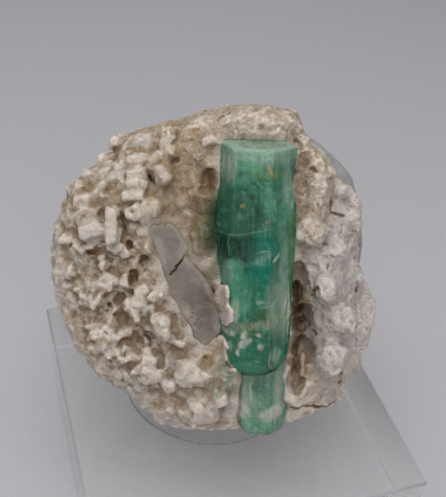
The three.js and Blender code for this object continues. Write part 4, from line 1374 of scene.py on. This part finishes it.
def emerald_colours(p, normal):
    """The emerald's zones along and across its length."""
    streak = rough_clouds(along(p, 0.10), 0.7, 92) - 0.5
    fine = rough_clouds(p, 1.2, 93) - 0.5
    small = rough_clouds(along(p, 0.5), 0.45, 94) - 0.5
    colour = tinted(
        np.tile(colours("green"), (len(p), 1)),
        ("pale", ease(fine + 0.5 * streak, -0.02, 0.3) * 0.6),
        ("shade", ease(-fine - 0.4 * small, 0.05, 0.3) * 0.35),
    )
    colour = patched(p, colour, EMERALD_PATCHES, 400)
    for wide, name, strength, points in EMERALD_LINES:
        line = np.clip(1.6 * (1 - line_distance(worn(p, 0.6, 0.2, 410), points) / wide), 0, 1)
        colour = tinted(colour, (name, strength * line))
    end = ease(normal[:, 1], 0.35, 0.7) * ease(p[:, 1], 20.5, 21.5)
    away = np.hypot((p[:, 0] - 7.9) / 4.7, (p[:, 2] - 5.2) / 3.9) + 0.25 * (rough_clouds(p, 1.4, 99) - 0.5)
    mottle = colours("end") * (0.55 + 0.9 * rough_clouds(p, 0.9, 96))[:, None]
    scratched = ease(rough_clouds(p * np.array([1.0, 1.0, 0.35]), 0.5, 100), 0.56, 0.66)
    mottle = mixed(mottle, colours("mint") * 1.15, 0.5 * scratched)
    colour = mixed(colour, colours("mint") * 1.05, end * ease(away, 0.75, 0.95))
    inside = (end * (1 - ease(away, 0.8, 0.95)))[:, None]
    colour = colour * (1 - inside) + mottle * inside
    return colour * (1 + 0.35 * small + 0.25 * streak)[:, None]


def stub_colours(p, _):
    """The pale lower crystal: greyer at its left, frosted in places."""
    streak = rough_clouds(along(p, 0.10), 0.7, 95) - 0.5
    fine = rough_clouds(p, 1.2, 97) - 0.5
    colour = tinted(
        np.tile(0.4 * colours("pale") + 0.6 * colours("end"), (len(p), 1)),
        ("mint", ease(streak + fine, -0.05, 0.3) * 0.6),
        ("green", ease(-streak - fine, 0.0, 0.3) * 0.3),
    )
    return patched(p, colour, STUB_PATCHES, 430) * (1 + 0.3 * streak)[:, None]


def emerald_material(name, milk):
    """Included beryl: zoned colour on the mesh, inner veils and striations from noise."""
    material, tree, shader = new_material(name)
    mottle = mottle_node(tree, 0.6, 2.5, 1.1)
    streaks = noise_node(tree, face_mapping(tree, 14.0), 2.6, 3.0, 0.6)
    veils = noise_node(tree, face_mapping(tree, 1.6), 1.1, 6.0, 0.7, 1.4)
    streaked = ranged(tree, streaks, 0.3, 0.7, 0.9, 1.1)
    veiled = ranged(tree, veils, 0.3, 0.7, 0.82, 1.18)
    light = math_node(tree, "MULTIPLY", streaked, veiled)
    colour = toned(tree, attribute_node(tree, "tint", "Color"), light)
    veil = math_node(tree, "MULTIPLY", ranged(tree, veils, 0.6, 0.72), 0.14)
    height = math_node(tree, "ADD", math_node(tree, "MULTIPLY", streaks, 1.2), mottle["Height"])
    surface = {
        "Base Color": mix_node(tree, veil, colour, (0.22, 0.40, 0.30, 1)),
        "Roughness": ranged(tree, mottle["Clouds"], 0.3, 0.7, 0.22, 0.42),
        "Normal": bump_node(tree, height, 0.3, 0.1 * MM),
        "Subsurface Weight": milk,
        "Subsurface Radius": (0.5, 1.0, 0.8),
        "Subsurface Scale": 1.2 * MM,
        "IOR": 1.58,
        "Specular IOR Level": 0.22,
    }
    fill(tree, shader, surface)
    return material


class SPECIMEN_OT_emeralds(bpy.types.Operator):
    """Finishes the long emerald and the paler stub under it"""

    bl_idname = "specimen.emeralds"
    bl_label = "Emerald crystals"

    def execute(self, context):
        kinds = (
            ("emerald_crystal", "emerald", emerald_relief, emerald_colours, "emerald", 0.2),
            ("emerald_stub", "emerald_lower", stub_relief, stub_colours, "pale_emerald", 0.35),
        )
        for node, name, relief_of, colour_of, slot, milk in kinds:
            crystal = node_copy(node, name)
            remeshed(crystal, sizes().emerald_face)
            places = relaxed(vertices_of(crystal), edges_of(crystal), 18)
            set_vertices(crystal, places)
            places = raised(crystal, places, relief_of(to_face(places), 301))
            set_in_box(crystal, places)
            p = to_face(places)
            tint = colour_of(p, normals_of(crystal) @ FACE_TURN)
            # The crystal's convex edges are painted paler mint.
            paler_edges = ease(-hollowness(crystal, 12), 0.03, 0.12) * ease(rough_clouds(p, 0.8, 98), 0.4, 0.6)
            paint(crystal, "tint", mixed(tint, colours("mint") * 1.2, 0.45 * paler_edges))
            finished(crystal, emerald_material(name + "_beryl", milk))
            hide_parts(node)
            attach(crystal, "root")
        return {"FINISHED"}


# ---- Quartz ----
QUARTZ_CRACK = ((-5.2, 4.3), (-6.1, 2.5), (-7.5, 0.7), (-8.2, -0.2))
# Dark specks and smudges in the face quartz: u, v, half length, half width, turn, colour, strength, patchy.
QUARTZ_PATCHES = (
    (-8.6, 5.6, 3.6, 2.4, -60, "quartz", 0.5, 0.3),
    (-2.8, -6.0, 5.2, 2.4, -62, "brown_quartz", 0.7, 0.3),
    (-1.4, -4.8, 3.0, 1.5, -65, "brown_quartz", 0.9, 0.2),
    (-4.7, -4.7, 1.1, 0.7, -30, "brown_quartz", 0.4, 0.4),
    (-2.9, -2.7, 0.9, 0.8, 0, "brown_quartz", 0.5, 0.4),
    (-2.4, -1.4, 0.4, 0.3, 0, "crevice", 0.95, 0.0),
    (-1.5, -2.9, 0.36, 0.28, 0, "crevice", 0.95, 0.0),
    (-1.4, -3.7, 0.32, 0.28, 0, "crevice", 0.95, 0.0),
    (-1.6, -5.0, 0.5, 0.26, -60, "crevice", 0.7, 0.0),
    (-4.4, -5.4, 0.26, 0.24, 0, "crevice", 0.85, 0.0),
    (-4.5, -6.2, 0.28, 0.24, 0, "crevice", 0.85, 0.0),
    (-4.4, -7.1, 0.28, 0.24, 0, "crevice", 0.85, 0.0),
    (-4.2, -8.0, 0.28, 0.24, 0, "crevice", 0.85, 0.0),
    (-2.4, -7.6, 0.34, 0.28, 0, "crevice", 0.85, 0.0),
    (-3.0, -8.3, 0.3, 0.26, 0, "crevice", 0.85, 0.0),
    (-3.6, -9.1, 0.44, 0.24, -60, "crevice", 0.85, 0.0),
    (-4.2, -9.9, 0.5, 0.22, -60, "crevice", 0.7, 0.0),
)


def quartz_material(name):
    """Grey glassy quartz with cloudy depth and dark specks."""
    material, tree, shader = new_material(name)
    mottle = mottle_node(tree, 0.5, 2.2, 1.2)
    light = ranged(tree, mottle["Clouds"], 0.3, 0.7, 0.86, 1.12)
    colour = toned(tree, attribute_node(tree, "tint", "Color"), light)
    speck = math_node(tree, "MULTIPLY", mottle["Specks"], 0.6)
    surface = {
        "Base Color": mix_node(tree, speck, colour, (0.08, 0.06, 0.05, 1)),
        "Roughness": ranged(tree, mottle["Clouds"], 0.3, 0.7, 0.3, 0.5),
        "Normal": bump_node(tree, mottle["Height"], 0.3, 0.12 * MM),
        "Subsurface Weight": 0.3,
        "Subsurface Scale": 1.2 * MM,
    }
    fill(tree, shader, surface)
    return material


class SPECIMEN_OT_quartz(bpy.types.Operator):
    """Finishes the grey quartz in the face and the mass behind the rock"""

    bl_idname = "specimen.quartz"
    bl_label = "Grey quartz"

    def execute(self, context):
        kinds = (("face_quartz", "quartz_face", 0.14, 0.3), ("back_quartz", "quartz_back", 0.45, 0.5))
        for node, name, voxel, swell in kinds:
            quartz = node_copy(node, name)
            remeshed(quartz, voxel * MM)
            places = relaxed(vertices_of(quartz), edges_of(quartz), 3)
            set_vertices(quartz, places)
            p = to_face(places)
            relief = swell * (rough_clouds(p, 5.0, 51) - 0.5) + 0.12 * (rough_clouds(p, 1.2, 52) - 0.5)
            tint = np.tile(colours("quartz"), (len(p), 1))
            tint = mixed(tint, colours("violet"), ease(rough_clouds(p, 4.0, 53), 0.5, 0.75) * 0.4)
            if node == "face_quartz":
                crack = np.clip(1 - line_distance(worn(p, 0.8, 0.3, 54), QUARTZ_CRACK) / 0.2, 0, 1)
                relief = relief - 0.5 * crack
                tint = patched(p, tint, QUARTZ_PATCHES, 450)
                tint = mixed(tint, 0.4 * colours("crevice"), 0.95 * ease(crack, 0, 0.4))
                rim = rim_nearness(quartz)
                blend = ease(rim + 1.2 * (rough_clouds(p, 1.6, 55) - 0.5), 0.35, 0.75)
                tint = mixed(tint, 0.5 * colours("cream") + 0.5 * colours("quartz"), 0.6 * blend)
                relief = relief * (1 - ease(rim, 0.2, 0.8))
                out = normals_of(quartz) @ FACE_TURN
                out = out[:, :2] * ease(np.hypot(out[:, 0], out[:, 1]), 0.2, 0.8)[:, None]
                p[:, :2] += 0.55 * out * ease(p[:, 2], 1.0, 2.2)[:, None]
                places = from_face(p)
            else:
                tint = mixed(tint, colours("smoky"), np.ones(len(p)))
            set_in_box(quartz, raised(quartz, places, relief))
            paint(quartz, "tint", tint)
            finished(quartz, quartz_material(name + "_glassy"))
            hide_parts(node)
            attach(quartz, "root")
        return {"FINISHED"}


def rim_nearness(quartz):
    """1 at the quartz grain's outline, fading to 0 a little way in over its face."""
    side = (np.abs((normals_of(quartz) @ FACE_TURN)[:, 2]) < 0.5).astype(float)
    spread = relaxed(side, edges_of(quartz), 60, 0.9)[:, 0]
    return np.clip(2 * spread, 0, 1)


# ---- The clear stand ----
def acrylic_material(name):
    """Clear cast acrylic, faintly worn in its polish, that scattered light passes straight through."""
    material, tree, shader = new_material(name)
    wear = noise_node(tree, object_place(tree), 160.0, 3.0, 0.6)
    surface = {
        "Base Color": (0.99, 0.992, 0.99, 1),
        "Roughness": ranged(tree, wear, 0.45, 0.75, 0.0, 0.05),
        "Transmission Weight": 1.0,
        "IOR": 1.49,
    }
    fill(tree, shader, surface)
    ray = new_node(tree, "LightPath").outputs
    scattered_light = math_node(tree, "MAXIMUM", ray["Is Shadow Ray"], ray["Is Diffuse Ray"])
    trapped = math_node(tree, "GREATER_THAN", ray["Ray Depth"], 4.5)
    passing = math_node(tree, "MAXIMUM", scattered_light, math_node(tree, "MULTIPLY", trapped, 0.45))
    clear = new_node(tree, "BsdfTransparent", {"Color": (0.99, 0.99, 0.99, 1)})
    blend = new_node(tree, "MixShader", {0: passing, 1: shader.outputs["BSDF"], 2: clear.outputs["BSDF"]})
    output = next(node for node in tree.nodes if node.type == "OUTPUT_MATERIAL")
    fill(tree, output, {"Surface": blend.outputs["Shader"]})
    return material


class SPECIMEN_OT_stand(bpy.types.Operator):
    """Makes the polished display block and the round seat on it"""

    bl_idname = "specimen.stand"
    bl_label = "Clear stand"

    def execute(self, context):
        low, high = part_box("base_block")
        deselect()
        bpy.ops.mesh.primitive_cube_add(size=1, location=(low + high) / 2)
        block = bpy.context.object
        block.name = "clear_block"
        block.dimensions = high - low
        settle(block)
        clear_selection(block.data)
        for edge in block.data.edges:
            heights = [block.data.vertices[i].co.z for i in edge.vertices]
            edge.select = max(heights) > (low.z + high.z) / 2
        make_active(block)
        bpy.ops.object.mode_set(mode="EDIT")
        bpy.ops.mesh.select_mode(type="EDGE")
        bpy.ops.mesh.bevel(offset=sizes().block_edge, segments=1)
        bpy.ops.object.mode_set(mode="OBJECT")

        low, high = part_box("seat_disc")
        radius = (high.x - low.x) / 2
        thick = high.z - low.z - HAIRLINE
        middle = (low + high) / 2
        deselect()
        bpy.ops.mesh.primitive_cylinder_add(
            vertices=160, radius=radius, depth=thick, location=(middle.x, middle.y, high.z - thick / 2)
        )
        seat = bpy.context.object
        seat.name = "clear_seat"
        settle(seat)
        bevel = seat.modifiers.new("rounded_rim", "BEVEL")
        bevel.width = sizes().seat_edge
        bevel.segments = 4
        bevel.limit_method = "ANGLE"
        apply_modifiers(seat)
        for piece, node in ((block, "base_block"), (seat, "seat_disc")):
            make_active(piece)
            bpy.ops.object.shade_smooth_by_angle(angle=math.radians(35))
            piece.data.materials.append(acrylic_material(piece.name + "_acrylic"))
            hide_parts(node)
            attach(piece, "root")
        return {"FINISHED"}


# ---- Stage ----
LAMP_AIM = Vector((0, 0, 0.045))
# Lamps: name, place, size and power.
LAMPS = (
    ("soft_above", (-0.04, -0.02, 0.42), 0.3, 0.9),
    ("soft_front", (-0.12, -0.43, 0.4), 0.4, 0.85),
)


class SPECIMEN_OT_stage(bpy.types.Operator):
    """Lays the pale floor and sets the soft lights and the camera"""

    bl_idname = "specimen.stage"
    bl_label = "Stage"

    def execute(self, context):
        deselect()
        bpy.ops.mesh.primitive_plane_add(size=4, location=(0, 0, FLOOR_LEVEL))
        floor = bpy.context.object
        floor.name = "stage_floor"
        settle(floor)
        material, tree, shader = new_material("pale_paper")
        grain = noise_node(tree, object_place(tree), 900.0, 3.0, 0.6)
        tone = ranged(tree, grain, 0.3, 0.7, 0.97, 1.03)
        surface = {
            "Base Color": toned(tree, (0.50, 0.487, 0.505, 1), tone),
            "Roughness": 0.9,
            "Specular IOR Level": 0.1,
        }
        fill(tree, shader, surface)
        floor.data.materials.append(material)

        world = bpy.data.worlds.new("soft_room")
        world.use_nodes = True
        background = world.node_tree.nodes["Background"]
        fill(world.node_tree, background, {"Color": (0.96, 0.97, 1.0, 1), "Strength": 0.36})
        context.scene.world = world

        for name, place, size, power in LAMPS:
            lamp = bpy.data.lights.new(name, "AREA")
            lamp.size = size
            lamp.energy = power
            light = bpy.data.objects.new(name, lamp)
            context.scene.collection.objects.link(light)
            light.location = place
            light.visible_transmission = False
            light.rotation_euler = (LAMP_AIM - Vector(place)).to_track_quat("-Z", "Y").to_euler()

        camera_data = bpy.data.cameras.new("view")
        camera_data.sensor_fit = "VERTICAL"
        camera_data.sensor_height = SENSOR_HEIGHT
        camera_data.lens = FOCAL_LENGTH / IMAGE_HEIGHT * SENSOR_HEIGHT
        camera_data.clip_start = 5 * MM
        camera = bpy.data.objects.new("view", camera_data)
        context.scene.collection.objects.link(camera)
        turn = Matrix.Rotation(CAMERA_TURN, 4, "Z")
        tilt = Matrix.Rotation(CAMERA_TILT, 4, "X") @ Matrix.Rotation(CAMERA_ROLL, 4, "Z")
        camera.matrix_world = turn @ Matrix.Translation(CAMERA_PLACE) @ tilt
        context.scene.camera = camera
        context.scene.view_settings.view_transform = "Standard"
        return {"FINISHED"}


# ---- Panel, registration and the run ----
OPERATORS = (
    SPECIMEN_OT_stand,
    SPECIMEN_OT_rock,
    SPECIMEN_OT_emeralds,
    SPECIMEN_OT_quartz,
    SPECIMEN_OT_stage,
)


class SPECIMEN_PT_panel(bpy.types.Panel):
    """Lists the specimen's pieces"""

    bl_label = "Specimen"
    bl_idname = "SPECIMEN_PT_panel"
    bl_space_type = "VIEW_3D"
    bl_region_type = "UI"
    bl_category = "Specimen"

    def draw(self, context):
        for operator in OPERATORS:
            self.layout.operator(operator.bl_idname)
        for group in (context.scene.specimen_sizes, context.scene.specimen_colours):
            for name in group.__annotations__:
                self.layout.prop(group, name)


CLASSES = (SpecimenSizes, SpecimenColours, *OPERATORS, SPECIMEN_PT_panel)


def register():
    for each in CLASSES:
        bpy.utils.register_class(each)
    bpy.types.Scene.specimen_sizes = bpy.props.PointerProperty(type=SpecimenSizes)
    bpy.types.Scene.specimen_colours = bpy.props.PointerProperty(type=SpecimenColours)


def unregister():
    del bpy.types.Scene.specimen_sizes
    del bpy.types.Scene.specimen_colours
    for each in reversed(CLASSES):
        bpy.utils.unregister_class(each)


def main():
    register()
    bpy.ops.specimen.stand()
    bpy.ops.specimen.rock()
    bpy.ops.specimen.emeralds()
    bpy.ops.specimen.quartz()
    bpy.ops.specimen.stage()


if __name__ == "__main__":
    main()
